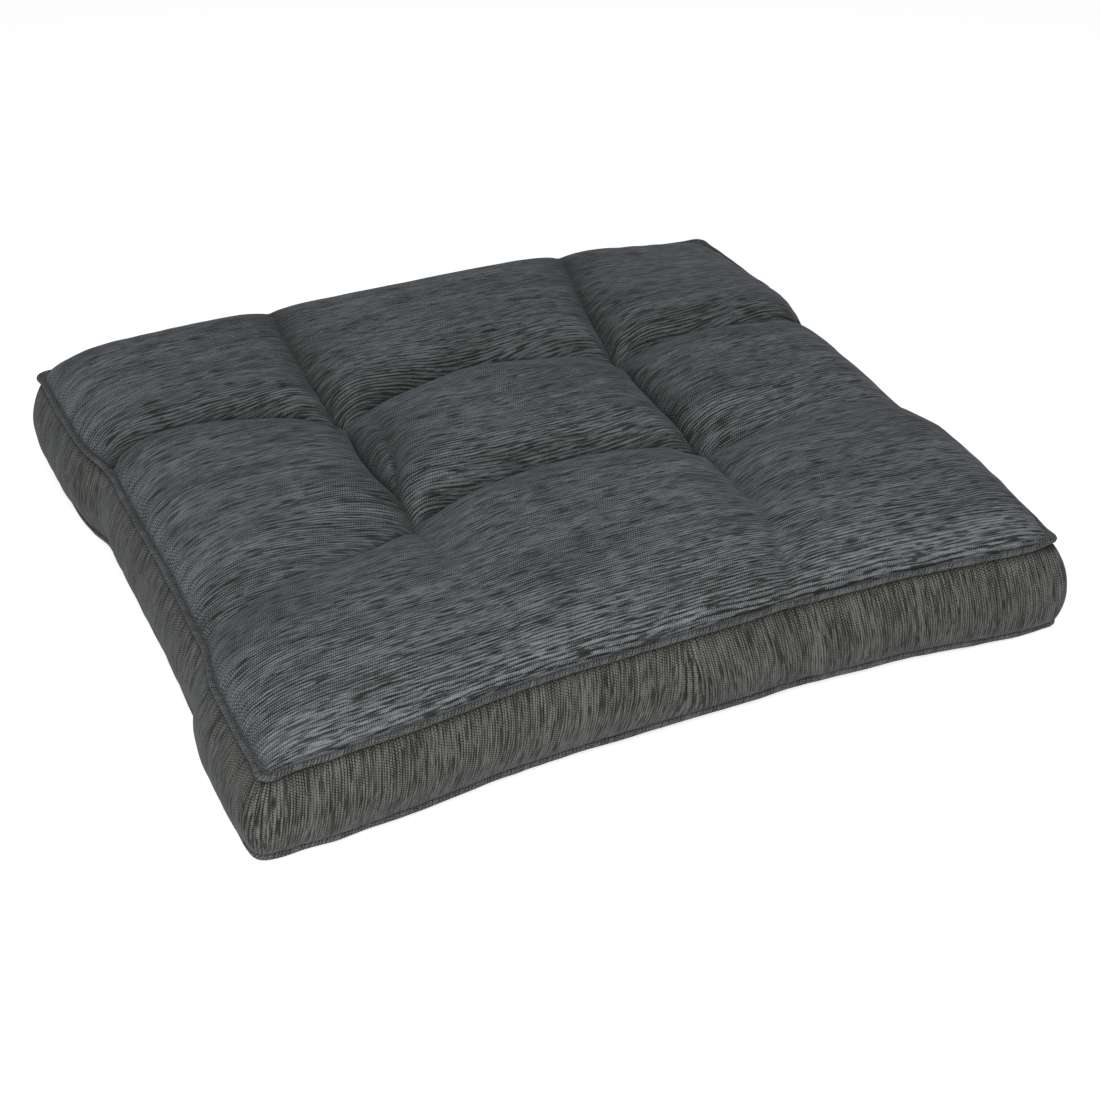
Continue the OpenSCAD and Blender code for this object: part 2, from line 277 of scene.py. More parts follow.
class NodeDesk:
    """Places and joins nodes in one node tree."""

    def __init__(self, tree: bpy.types.NodeTree) -> None:
        """Keep the tree that the nodes go into."""
        self.tree = tree

    def add(self, kind: str, **settings: object) -> bpy.types.Node:
        """Add a node and set the named properties on it.

        Args:
            kind: Blender's name for the node's type.
            settings: Properties of the node.

        Returns:
            The node.
        """
        node = self.tree.nodes.new(kind)
        for key, value in settings.items():
            setattr(node, key, value)
        return node

    def feed(self, node: bpy.types.Node, socket: str | int, value: object) -> None:
        """Join an output to an input, or set the input to a plain value."""
        if isinstance(value, bpy.types.NodeSocket):
            self.tree.links.new(value, node.inputs[socket])
        else:
            node.inputs[socket].default_value = value

    def math(self, operation: str, a: object, b: object = 0.0, clamp: bool = False) -> bpy.types.NodeSocket:
        """Add a Math node on one or two values and return its output."""
        node = self.add("ShaderNodeMath", operation=operation, use_clamp=clamp)
        self.feed(node, 0, a)
        self.feed(node, 1, b)
        return node.outputs[0]

    def stretched(self, vector: object, scale: tuple[float, float, float]) -> bpy.types.NodeSocket:
        """Scale a vector by three plain numbers and return the result."""
        node = self.add("ShaderNodeVectorMath", operation="MULTIPLY")
        self.feed(node, 0, vector)
        self.feed(node, 1, scale)
        return node.outputs[0]

    def noise(self, vector: object, scale: float, detail: float, roughness: float) -> bpy.types.NodeSocket:
        """Add a Noise Texture and return its value."""
        node = self.add("ShaderNodeTexNoise", noise_dimensions="2D")
        self.feed(node, "Vector", vector)
        self.feed(node, "Scale", scale)
        self.feed(node, "Detail", detail)
        self.feed(node, "Roughness", roughness)
        return node.outputs["Fac"]

    def ramp(self, value: object, low: float, high: float) -> bpy.types.NodeSocket:
        """Map a value smoothly from the span low..high to 0..1 and return it."""
        node = self.add("ShaderNodeMapRange", interpolation_type="SMOOTHSTEP", clamp=True)
        self.feed(node, "Value", value)
        self.feed(node, "From Min", low)
        self.feed(node, "From Max", high)
        return node.outputs["Result"]

    def blend(self, share: object, a: object, b: object) -> bpy.types.NodeSocket:
        """Blend two colours by a share and return the result."""
        node = self.add("ShaderNodeMix", data_type="RGBA")
        self.feed(node, 0, share)
        self.feed(node, 6, a)
        self.feed(node, 7, b)
        return node.outputs[2]

    def bump(self, shader: bpy.types.Node, height: object, distance: float, strength: float) -> None:
        """Add a Bump node on a height and join it to the shader's normal."""
        node = self.add("ShaderNodeBump")
        self.feed(node, "Height", height)
        self.feed(node, "Distance", distance)
        self.feed(node, "Strength", strength)
        self.feed(shader, "Normal", node.outputs["Normal"])


def blank_material(name: str) -> tuple[bpy.types.Material, NodeDesk, bpy.types.Node]:
    """Start a material and return it with its node desk and its Principled shader."""
    material = bpy.data.materials.new(name)
    material.use_nodes = True
    return material, NodeDesk(material.node_tree), material.node_tree.nodes["Principled BSDF"]


def slub_weave_group() -> bpy.types.NodeTree:
    """Build the shared streaked weave.

    Yarns run along U. Every yarn shows as a row of small stitches, set half a stitch off from its
    neighbours, with dark pits between them. Thin dark lines and thicker pale slubs are noise drawn
    out along U, and broad patches are a little bluer or a little browner than the rest. A fold share
    read from the mesh blends the colour towards the dark one: painted shade in folds, round tufts
    and under the piping.

    Returns:
        The node group, with a colour, a roughness and a height.
    """
    group = bpy.data.node_groups.new("slub_weave", "ShaderNodeTree")
    group_input(group, "Cloth", "NodeSocketVector", None)
    group_input(group, "Pale", "NodeSocketColor", (0.2, 0.2, 0.2, 1))
    group_input(group, "Middle", "NodeSocketColor", (0.1, 0.1, 0.1, 1))
    group_input(group, "Dark", "NodeSocketColor", (0.03, 0.03, 0.03, 1))
    group_input(group, "Line share", "NodeSocketFloat", 0.8)
    group_input(group, "Pit share", "NodeSocketFloat", 0.6)
    group_input(group, "Yarns per metre", "NodeSocketFloat", 480.0)
    group_input(group, "Stitches per metre", "NodeSocketFloat", 560.0)
    group_input(group, "Painted shade", "NodeSocketFloat", 0.0)
    results = {"Colour": "NodeSocketColor", "Roughness": "NodeSocketFloat", "Height": "NodeSocketFloat"}
    for name, kind in results.items():
        group.interface.new_socket(name=name, in_out="OUTPUT", socket_type=kind)
    desk = NodeDesk(group)
    given = desk.add("NodeGroupInput").outputs
    cloth = given["Cloth"]

    parts = desk.add("ShaderNodeSeparateXYZ")
    desk.feed(parts, 0, cloth)
    wander = desk.noise(desk.stretched(cloth, (22.0, 70.0, 1.0)), 1.0, 1.0, 0.5)
    rows = desk.math("MULTIPLY", parts.outputs["Y"], given["Yarns per metre"])
    rows = desk.math("ADD", rows, desk.math("MULTIPLY", wander, 1.3))
    number = desk.math("FLOOR", rows)
    offset = desk.math("MULTIPLY", number, 0.5)
    stitches = desk.math("MULTIPLY", parts.outputs["X"], given["Stitches per metre"])
    stitches = desk.math("ADD", desk.math("ADD", stitches, offset), desk.math("MULTIPLY", wander, 2.0))
    across = desk.math("ABSOLUTE", desk.math("SINE", desk.math("MULTIPLY", rows, math.pi)))
    along = desk.math("ABSOLUTE", desk.math("SINE", desk.math("MULTIPLY", stitches, math.pi)))
    weave = desk.math("MULTIPLY", across, along)
    fray = desk.noise(desk.stretched(cloth, (900.0, 1600.0, 1.0)), 1.0, 2.0, 0.6)
    weave = desk.math("ADD", weave, desk.math("MULTIPLY", desk.math("SUBTRACT", fray, 0.5), 1.1))
    pits = desk.math("SUBTRACT", 1.0, desk.ramp(weave, 0.10, 0.58))

    fine_lines = desk.noise(desk.stretched(cloth, (48.0, 760.0, 1.0)), 1.0, 1.0, 0.5)
    long_lines = desk.noise(desk.stretched(cloth, (20.0, 600.0, 1.0)), 1.0, 2.0, 0.6)
    slubs = desk.noise(desk.stretched(cloth, (70.0, 620.0, 1.0)), 1.0, 2.0, 0.6)
    yarns = desk.noise(desk.stretched(cloth, (16.0, 900.0, 1.0)), 1.0, 1.0, 0.5)
    broad = desk.noise(desk.stretched(cloth, (9.0, 60.0, 1.0)), 1.0, 2.0, 0.5)

    tone = desk.math("ADD", desk.math("MULTIPLY", slubs, 0.72), desk.math("MULTIPLY", yarns, 0.28))
    tone = desk.math("ADD", tone, desk.math("MULTIPLY", desk.math("SUBTRACT", broad, 0.5), 0.35))
    base = desk.blend(desk.ramp(tone, 0.30, 0.72), given["Middle"], given["Pale"])
    lines = desk.math("MAXIMUM", desk.ramp(fine_lines, 0.58, 0.65), desk.ramp(long_lines, 0.61, 0.69))
    lines = desk.math("MULTIPLY", lines, given["Line share"])
    thinned = desk.math("SUBTRACT", 1.3, desk.math("MULTIPLY", desk.ramp(tone, 0.40, 0.62), 0.6))
    pit_mask = desk.math("MULTIPLY", desk.math("MULTIPLY", pits, given["Pit share"]), thinned, clamp=True)
    shade = desk.math("MAXIMUM", lines, pit_mask)
    # Painted shade: the mesh's fold share darkens the weave towards the dark colour in folds, round tufts and
    # under the piping.
    painted_shade_share = desk.math("MULTIPLY", given["Painted shade"], 0.92, clamp=True)
    colour = desk.blend(painted_shade_share, desk.blend(shade, base, given["Dark"]), given["Dark"])
    height = desk.math("ADD", desk.math("MULTIPLY", weave, 0.6), desk.math("MULTIPLY", tone, 0.8))
    height = desk.math("SUBTRACT", height, desk.math("MULTIPLY", lines, 0.6))
    rough = desk.math("ADD", 0.78, desk.math("MULTIPLY", shade, 0.15))

    out = desk.add("NodeGroupOutput")
    desk.feed(out, "Colour", colour)
    desk.feed(out, "Roughness", rough)
    desk.feed(out, "Height", height)
    return group


@dataclass(frozen=True)
class WovenFinish:
    """Streaked slub weave in one colouring."""

    name: str
    pale: tuple[float, float, float]
    middle: tuple[float, float, float]
    dark: tuple[float, float, float]
    line_share: float
    pit_share: float
    thread: Thread
    slant: float = 0.0
    yarns_per_metre: float = 480.0
    stitches_per_metre: float = 560.0
    bump: float = 0.5

    def build(self, weave: bpy.types.NodeTree) -> bpy.types.Material:
        """Make the material from the shared weave.

        Args:
            weave: The slub weave node group.

        Returns:
            The material.
        """
        material, desk, shader = blank_material(self.name)
        place = desk.add("ShaderNodeUVMap", uv_map="cloth").outputs["UV"]
        mapping = desk.add("ShaderNodeMapping")
        desk.feed(mapping, "Vector", place)
        quarter = math.pi / 2 if self.thread is Thread.ALONG_V else 0.0
        mapping.inputs["Rotation"].default_value = (0.0, 0.0, quarter + self.slant)
        node = desk.add("ShaderNodeGroup")
        node.node_tree = weave
        desk.feed(node, "Cloth", mapping.outputs["Vector"])
        desk.feed(node, "Pale", (*self.pale, 1))
        desk.feed(node, "Middle", (*self.middle, 1))
        desk.feed(node, "Dark", (*self.dark, 1))
        desk.feed(node, "Line share", self.line_share)
        desk.feed(node, "Pit share", self.pit_share)
        desk.feed(node, "Yarns per metre", self.yarns_per_metre)
        desk.feed(node, "Stitches per metre", self.stitches_per_metre)
        # The fold attribute is painted shade stored on the panels; pieces without it read 0.
        desk.feed(node, "Painted shade", desk.add("ShaderNodeAttribute", attribute_name="fold").outputs["Fac"])
        desk.feed(shader, "Base Color", node.outputs["Colour"])
        desk.feed(shader, "Roughness", node.outputs["Roughness"])
        desk.bump(shader, node.outputs["Height"], 0.4 * MM, self.bump)
        shader.inputs["Sheen Weight"].default_value = 0.12
        shader.inputs["Sheen Roughness"].default_value = 0.45
        shader.inputs["Sheen Tint"].default_value = (0.75, 0.82, 0.95, 1)
        shader.inputs["Specular IOR Level"].default_value = 0.25
        return material


@dataclass(frozen=True)
class StrandFinish:
    """Twisted thread, twine or cord in one colour, with its ply as slanting stripes: the grooves between the
    plies are darker as painted shade.
    """

    name: str
    colour: tuple[float, float, float]
    plies_per_metre: float
    roughness: float = 0.7

    def build(self) -> bpy.types.Material:
        """Make the material.

        Returns:
            The material, striped across its length and round its girth with painted shade in the ply's
            grooves.
        """
        material, desk, shader = blank_material(self.name)
        parts = desk.add("ShaderNodeSeparateXYZ")
        desk.feed(parts, 0, desk.add("ShaderNodeUVMap", uv_map="cloth").outputs["UV"])
        turn = desk.math("ADD", parts.outputs["X"], desk.math("MULTIPLY", parts.outputs["Y"], 1.4))
        wave = desk.math("SINE", desk.math("MULTIPLY", turn, 2 * math.pi * self.plies_per_metre))
        height = desk.math("ADD", desk.math("MULTIPLY", wave, 0.5), 0.5)
        # Painted shade: the colour falls to 45 per cent in the grooves between the plies, where the bump is
        # low.
        low = tuple(0.45 * c for c in self.colour)
        desk.feed(shader, "Base Color", desk.blend(height, (*low, 1), (*self.colour, 1)))
        rough = desk.math("ADD", self.roughness, desk.math("MULTIPLY", height, 0.1))
        desk.feed(shader, "Roughness", rough)
        desk.bump(shader, height, 0.3 * MM, 0.8)
        shader.inputs["Sheen Weight"].default_value = 0.2
        return material


@dataclass(frozen=True)
class FibreFinish:
    """Loose blown polyester fibre, pale with soft tufts."""

    name: str
    colour: tuple[float, float, float]

    def build(self) -> bpy.types.Material:
        """Make the material.

        Returns:
            The material, with clumps and stray fibres in its bump and painted shade between the clumps in its
            colour.
        """
        material, desk, shader = blank_material(self.name)
        place = desk.add("ShaderNodeTexCoord").outputs["Object"]
        clumps = desk.add("ShaderNodeTexNoise")
        desk.feed(clumps, "Vector", place)
        desk.feed(clumps, "Scale", 40.0)
        desk.feed(clumps, "Detail", 6.0)
        # Painted shade: the colour falls to 80 per cent between the clumps, where the bump is low.
        low = tuple(0.8 * c for c in self.colour)
        desk.feed(shader, "Base Color", desk.blend(clumps.outputs["Fac"], (*low, 1), (*self.colour, 1)))
        rough = desk.math("ADD", 0.85, desk.math("MULTIPLY", clumps.outputs["Fac"], 0.1))
        desk.feed(shader, "Roughness", rough)
        desk.bump(shader, clumps.outputs["Fac"], 2 * MM, 1.0)
        shader.inputs["Sheen Weight"].default_value = 0.3
        return material


# ---- The cushion's form --------------------------------------------------------------------------


def crease(
    distance: np.ndarray, reach: np.ndarray | float, roundness: float, power: float = 2.2
) -> np.ndarray:
    """Cross-section of a valley between two stuffed mounds.

    The drop is (1 - (distance / reach) ** roundness) ** power: 1 on the valley's line and 0 from the
    reach outward. A roundness of 1 comes to a crease, 2 is a soft trough.

    Args:
        distance: Distances from the valley's line.
        reach: Distance at which the mound is back at its own height.
        roundness: How round the bottom is.
        power: How fast the mound rounds over.

    Returns:
        Shares of the valley's depth, 0 to 1.
    """
    return (1 - np.minimum(np.abs(distance) / reach, 1) ** roundness) ** power


@dataclass(frozen=True)
class Valley:
    """A valley in the top panel between two tufts or from a tuft to the seam.

    The route's points are shares of the half width and half depth. Depth, reach and fold change
    evenly from their value at the start over one halfway to one at the end. The fold is a narrow
    extra drop along the valley's line, where the two mounds press on each other.
    """

    route: tuple[tuple[float, float], ...]
    depths: tuple[float, float, float]
    reaches: tuple[float, float, float]
    folds: tuple[float, float, float] = (0.0, 0.0, 0.0)
    roundness: float = 1.0
    fold_width: float = 7.5 * MM
    # Least share of the fold's painted shade along the route; it also sets the least drop of the filling
    # there.
    least_shade: float = 0.0

    def nearest(self, place: np.ndarray, half: np.ndarray) -> tuple[np.ndarray, np.ndarray]:
        """Find the nearest point of the route's line for each place, on its 40 straight pieces.

        Args:
            place: Plan points, the last axis x and y in metres.
            half: Half width and half depth of the cushion.

        Returns:
            Vectors to the nearest point, and its share of the way along the route.
        """
        line = smooth_route(np.array(self.route) * half, 41)
        start, piece = line[:-1], np.diff(line, axis=0)
        rel = place.reshape(-1, 1, 2) - start
        t = np.clip((rel * piece).sum(-1) / (piece**2).sum(-1), 0, 1)
        towards = t[..., None] * piece - rel
        best = np.linalg.norm(towards, axis=-1).argmin(1)
        rows = np.arange(len(best))
        share = (best + t[rows, best]) / len(piece)
        return towards[rows, best].reshape(place.shape), share.reshape(place.shape[:-1])

    def drop(self, place: np.ndarray, half: np.ndarray) -> np.ndarray:
        """How far the valley lowers the panel at each place, in metres."""
        towards, share = self.nearest(place, half)
        away = np.linalg.norm(towards, axis=-1)
        depth = np.interp(share, [0, 0.5, 1], self.depths)
        reach = np.interp(share, [0, 0.5, 1], self.reaches)
        fold = np.interp(share, [0, 0.5, 1], self.folds)
        return depth * crease(away, reach, self.roundness) + fold * bell(away, self.fold_width, 1.2)

    def depth_in_fold(self, place: np.ndarray, half: np.ndarray, *widths: tuple[float, float]) -> np.ndarray:
        """How deep in the fold each place lies, from 1 on the line of a strong fold to 0 off it: the share of
        painted shade there, and of the filling's drop.

        Args:
            place: Plan points, the last axis x and y in metres.
            half: Half width and half depth of the cushion.
            widths: Pairs of a share and the width that it falls off over.

        Returns:
            One value for each place.
        """
        towards, share = self.nearest(place, half)
        strength = np.interp(share, [0, 0.5, 1], self.folds) / (13 * MM)
        strength = np.clip(strength, self.least_shade, 1)
        away = np.linalg.norm(towards, axis=-1)
        return strength * sum(part * bell(away, width, 1.5) for part, width in widths)

    def pinch(self, place: np.ndarray, half: np.ndarray) -> np.ndarray:
        """Moves that press the two mounds together over the fold and deepen its bottom.

        A point at distance d moves towards the line by pull * (d / width) * exp(1 - d / width), and
        down by sink * exp(-(d / 4.5 mm) ** 1.4). Both grow with the fold's depth.

        Args:
            place: Plan points, the last axis x and y in metres.
            half: Half width and half depth of the cushion.

        Returns:
            One move of three numbers for each place.
        """
        width, full = 13 * MM, 13 * MM
        towards, share = self.nearest(place, half)
        away = np.linalg.norm(towards, axis=-1)
        strength = np.minimum(np.interp(share, [0, 0.5, 1], self.folds) / full, 1)
        pull = 6.0 * MM * strength / width * np.exp(1 - away / width)
        sink = 8.0 * MM * strength * bell(away, 4.5 * MM, 1.4)
        return np.concatenate([towards * pull[..., None], -sink[..., None]], -1)


@dataclass(frozen=True)
class SidePull:
    """How far the seam draws in along one side: most over a stretch, little near the corners."""

    depth: float
    middle: float
    half_length: float

    def at(self, run: np.ndarray) -> np.ndarray:
        """Draw-in at each place along the side, in metres: depth / (1 + (distance / half) ** 6)."""
        return self.depth / (1 + ((run - self.middle) / self.half_length) ** 6)


@dataclass(frozen=True)
class CornerSet:
    """One corner of the cushion: how far out its seams lie, how high the top one is, how slack it is."""

    out_x: float
    out_y: float
    seam_lift: float
    slump: float
    under_x: float
    under_y: float


@dataclass
class CushionForm:
    """Sizes of the stuffed cushion, from the frame, and the shape that its filling holds."""

    corner_x: float
    corner_y: float
    top_seam_z: float
    bottom_seam_z: float
    crown_z: float
    tufts: dict[str, np.ndarray]
    left: SidePull = SidePull(11 * MM, -5 * MM, 120 * MM)
    right: SidePull = SidePull(11 * MM, 5 * MM, 85 * MM)
    front: SidePull = SidePull(12 * MM, 35 * MM, 190 * MM)
    back: SidePull = SidePull(6 * MM, 10 * MM, 150 * MM)
    corners: dict[str, CornerSet] = field(default_factory=lambda: {
        "front_left": CornerSet(1.5 * MM, 0.5 * MM, -5 * MM, 2 * MM, 13 * MM, 5 * MM),
        "front_right": CornerSet(0.5 * MM, -3.0 * MM, 1 * MM, 3 * MM, 9 * MM, 8 * MM),
        "back_left": CornerSet(2.0 * MM, 1.0 * MM, 1 * MM, 0 * MM, 4 * MM, 3 * MM),
        "back_right": CornerSet(2.0 * MM, 0.0 * MM, -1 * MM, 24 * MM, 3 * MM, 3 * MM),
    })
    slump_reach: float = 120 * MM
    side_lift: float = 5 * MM
    left_radius: float = 62 * MM
    right_radius: float = 46 * MM
    front_radius: float = 84 * MM
    back_radius: float = 46 * MM
    dome: float = 7 * MM
    band_bulge: float = 12 * MM
    notch_hold: float = 0.6
    notch_pull: float = 6.5 * MM
    notch_reach: float = 26 * MM
    tuft_depth: float = 54 * MM
    tuft_reach: float = 70 * MM
    under_pull: float = 3 * MM
    under_drop: float = 6 * MM
    under_crown: float = 22 * MM
    under_lift: float = 34 * MM
    under_reach: float = 42 * MM

    @classmethod
    def from_frame(cls) -> "CushionForm":
        """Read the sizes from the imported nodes.

        Returns:
            The form.
        """
        _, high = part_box("top_panel")
        sleeve_low, sleeve_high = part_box("top_piping_sleeve")
        under_low, under_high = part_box("bottom_piping_sleeve")
        tufts = {}
        for name in ("front_left", "front_right", "back_left", "back_right"):
            tie_low, tie_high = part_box("tuft_tie_" + name)
            tufts[name] = np.array([tie_low[0] + tie_high[0], tie_low[1] + tie_high[1]]) / 2
        return cls(
            corner_x=high[0], corner_y=high[1],
            top_seam_z=(sleeve_low[2] + sleeve_high[2]) / 2,
            bottom_seam_z=(under_low[2] + under_high[2]) / 2,
            crown_z=high[2], tufts=tufts,
        )

    @property
    def half(self) -> np.ndarray:
        """Half width and half depth at the seams' corners."""
        return np.array([self.corner_x, self.corner_y])

    def valleys(self) -> list[Valley]:
        """Return the valleys that join the tufts and run out to the seams."""
        fl, fr, bl, br = (tuple(self.tufts[n] / self.half) for n in
                          ("front_left", "front_right", "back_left", "back_right"))
        wide, narrow = 58 * MM, 40 * MM
        def mm(*values: float) -> tuple[float, ...]:
            return tuple(value * MM for value in values)
        around, outward, between = (wide, wide, wide), (wide, narrow, narrow), (wide, 46 * MM, wide)
        return [
            Valley((bl, (-0.41, 0.0), fl), mm(26, 20, 26), around, mm(12, 14, 14)),
            Valley((br, (0.375, 0.0), fr), mm(26, 20, 26), around, mm(12, 12, 12)),
            Valley((bl, (-0.2, 0.33), (0.0, 0.37), (0.2, 0.33), br), mm(26, 22, 26), between, mm(13, 16, 12)),
            Valley((fl, (-0.15, -0.2), (0.15, -0.2), fr), mm(26, 20, 26), between, mm(10, 10, 10), 1.2),
            Valley((bl, (-0.6, 0.36), (-0.8, 0.40), (-1.0, 0.385)), mm(26, 16, 9), outward, mm(12, 16, 12)),
            Valley((bl, (-0.40, 0.6), (-0.37, 1.0)), mm(26, 6, 3), outward, mm(9, 3, 1), least_shade=0.7),
            Valley((br, (0.43, 0.6), (0.52, 1.0)), mm(26, 6, 4), outward, mm(9, 3, 1), least_shade=0.7),
            Valley((br, (0.62, 0.29), (0.82, 0.25), (1.0, 0.25)), mm(26, 15, 12), outward, mm(10, 12, 16)),
            Valley((fl, (-0.7, -0.42), (-1.0, -0.5)), mm(26, 8, 9), around, mm(8, 1, 4), 1.8),
            Valley((fr, (0.7, -0.28), (1.0, -0.33)), mm(26, 8, 8), around, mm(8, 0, 2), 1.8),
            Valley((fl, (-0.42, -0.6), (-0.42, -1.0)), mm(22, 3, 2), around, mm(4, 0, 0), 2.0),
            Valley((fr, (0.34, -0.7), (0.27, -1.0)), mm(22, 5, 4), outward, mm(6, 1, 2), 1.6),
            Valley(((-0.31, 0.17), (-0.32, 0.02), (-0.37, -0.14)), mm(3, 5, 8), (narrow,) * 3, mm(4, 7, 9)),
        ]

    def quilting(self, place: np.ndarray) -> np.ndarray:
        """How far the tufts and valleys lower the top panel at each plan point, in metres."""
        power = 5.0
        total = np.zeros(place.shape[:-1])
        for spot in self.tufts.values():
            away = np.linalg.norm(place - spot, axis=-1)
            total += (self.tuft_depth * crease(away, self.tuft_reach, 1.0, 2.0)) ** power
        for valley in self.valleys():
            total += valley.drop(place, self.half) ** power
        return total ** (1 / power)

    def edge_rise(self, u: np.ndarray, v: np.ndarray) -> np.ndarray:
        """Share of the crown's height: a quarter circle up from each seam, times its neighbour."""
        def quarter(distance: np.ndarray, radius: np.ndarray) -> np.ndarray:
            inward = 1 - np.minimum(distance / radius, 1)
            return np.sqrt(np.maximum(1 - inward**2, 0))
        radius_x = np.where(u < 0, self.left_radius, self.right_radius)
        radius_y = np.where(v < 0, self.front_radius, self.back_radius)
        across = quarter((1 - np.abs(u)) * self.corner_x, radius_x)
        return across * quarter((1 - np.abs(v)) * self.corner_y, radius_y)

    def corner_weight(self, name: str, u: np.ndarray, v: np.ndarray) -> np.ndarray:
        """Share that a corner has at each place: 1 at the corner, 0 at the others."""
        side = (1 + u) / 2 if name.endswith("right") else (1 - u) / 2
        depth = (1 + v) / 2 if name.startswith("back") else (1 - v) / 2
        return side * depth

    def seam_height(self, u: np.ndarray, v: np.ndarray) -> np.ndarray:
        """Height of the top seam over the plan: the middles lie higher than the corners."""
        to_corner = np.minimum(np.abs(u), np.abs(v))
        z = self.top_seam_z + self.side_lift * (1 - to_corner**3)
        for name, corner in self.corners.items():
            z = z + corner.seam_lift * self.corner_weight(name, u, v)
        return z

    def notch(self, run_x: np.ndarray, run_y: np.ndarray) -> tuple[np.ndarray, np.ndarray]:
        """Extra draw-in along x and y where a valley's end pulls on the seam."""
        pull = [np.zeros(run_x.shape), np.zeros(run_x.shape)]
        for valley in self.valleys():
            end = np.array(valley.route[-1])
            axis = int(np.argmax(np.abs(end)))
            if abs(end[axis]) >= 1:
                away = np.hypot(run_x - end[0] * self.corner_x, run_y - end[1] * self.corner_y)
                strength = self.notch_pull * valley.depths[-1] / (12 * MM)
                pull[axis] += np.sign(end[axis]) * strength * bell(away, self.notch_reach)
        return pull[0], pull[1]

    def plan(self, u: np.ndarray, v: np.ndarray) -> np.ndarray:
        """Plan points of a panel whose sides draw in between the corners."""
        round_off = 1 - 0.011 * np.abs(u) ** 12 * np.abs(v) ** 12
        run_y, run_x = v * self.corner_y, u * self.corner_x
        pull_x = np.where(u < 0, self.left.at(run_y), self.right.at(run_y))
        pull_y = np.where(v < 0, self.front.at(run_x), self.back.at(run_x))
        notch_x, notch_y = self.notch(run_x, run_y)
        x = u * round_off * (self.corner_x - pull_x) - notch_x
        y = v * round_off * (self.corner_y - pull_y) - notch_y
        for name, corner in self.corners.items():
            weight = self.corner_weight(name, u, v)
            x = x + np.sign(u) * corner.out_x * weight
            y = y + np.sign(v) * corner.out_y * weight
        return np.stack([x, y], -1)

    def top(self, u: np.ndarray, v: np.ndarray) -> np.ndarray:
        """Points of the top panel for shares u and v from -1 to 1."""
        place = self.plan(u, v)
        crown = self.crown_z - self.top_seam_z - self.side_lift + self.dome * (1 - u**2) * (1 - v**2)
        for name, corner in self.corners.items():
            spot = self.half * (1 if name.endswith("right") else -1, 1 if name.startswith("back") else -1)
            crown = crown - corner.slump * bell(np.linalg.norm(place - spot, axis=-1), self.slump_reach)
        z = self.seam_height(u, v) + self.edge_rise(u, v) * (crown - self.quilting(place))
        return np.concatenate([place, z[..., None]], -1)

    def bulge_along(self, seam: np.ndarray) -> np.ndarray:
        """How far the band stands out below each seam point: less where a valley meets the seam."""
        reach = 26 * MM
        hold = np.zeros(len(seam))
        for valley in self.valleys():
            end = np.array(valley.route[-1])
            if np.abs(end).max() >= 1:
                away = np.linalg.norm(seam[:, :2] - end * self.half, axis=1)
                hold = np.maximum(hold, valley.depths[-1] / (20 * MM) * bell(away, reach))
        return self.band_bulge * (1 - self.notch_hold * np.minimum(hold, 1))

    def under(self, u: np.ndarray, v: np.ndarray) -> np.ndarray:
        """Points of the bottom panel, flat where the floor holds it up."""
        place = self.plan(u, v) * (1 - self.under_pull / self.half)
        for name, corner in self.corners.items():
            spread = self.corner_weight(name, u, v)
            out_x = np.sign(u) * corner.under_x * spread
            out_y = np.sign(v) * corner.under_y * spread
            place = place + np.stack([out_x, out_y], -1)
        lift = np.zeros(u.shape)
        for spot in self.tufts.values():
            lift = np.maximum(lift, bell(np.linalg.norm(place - spot, axis=-1), self.under_reach))
        hang = self.edge_rise(u, v) * (self.under_crown - self.under_lift * lift)
        seam = self.bottom_seam_z - self.under_drop * np.minimum(np.abs(u), np.abs(v)) ** 2
        z = np.maximum(seam - hang, 0)
        return np.concatenate([place, z[..., None]], -1)


# ---- The cover -----------------------------------------------------------------------------------


class Panel(Enum):
    """The three pieces of the cover."""

    TOP = 0
    BOTTOM = 1
    BAND = 2


@dataclass
class CoverGrid:
    """How the cover's points and faces are numbered: top panel, bottom panel, then band rows."""

    across: int = 98
    along: int = 90
    up: int = 10

    @property
    def panel_points(self) -> int:
        """Number of points in one panel."""
        return (self.across + 1) * (self.along + 1)

    def shares(self) -> tuple[np.ndarray, np.ndarray]:
        """Shares u and v from -1 to 1 of a panel's points."""
        u = np.linspace(-1, 1, self.across + 1)
        v = np.linspace(-1, 1, self.along + 1)
        return tuple(np.meshgrid(u, v, indexing="ij"))

    def rim(self) -> np.ndarray:
        """Numbers of a panel's edge points in order, anticlockwise from the front left corner."""
        step = self.along + 1
        front = np.arange(self.across) * step
        right = self.across * step + np.arange(self.along)
        back = np.arange(self.across, 0, -1) * step + self.along
        left = np.arange(self.along, 0, -1)
        return np.concatenate([front, right, back, left])

    def band_rings(self) -> list[np.ndarray]:
        """Point numbers of the band's rows, from the top seam to the bottom seam."""
        rim = self.rim()
        rows = [2 * self.panel_points + k * len(rim) + np.arange(len(rim)) for k in range(self.up - 1)]
        return [rim, *rows, rim + self.panel_points]

    def faces(self) -> tuple[np.ndarray, np.ndarray]:
        """Return the four-sided faces and the panel that each belongs to."""
        number = np.arange(self.panel_points).reshape(self.across + 1, self.along + 1)
        top = np.stack([number[:-1, :-1], number[1:, :-1], number[1:, 1:], number[:-1, 1:]], -1)
        top = top.reshape(-1, 4)
        under = top[:, ::-1] + self.panel_points
        rings = self.band_rings()
        band = np.concatenate([
            np.stack([a, b, np.roll(b, -1), np.roll(a, -1)], -1) for a, b in zip(rings[:-1], rings[1:])
        ])
        kinds = np.repeat([Panel.TOP.value, Panel.BOTTOM.value, Panel.BAND.value],
                          [len(top), len(under), len(band)])
        return np.concatenate([top, under, band]), kinds


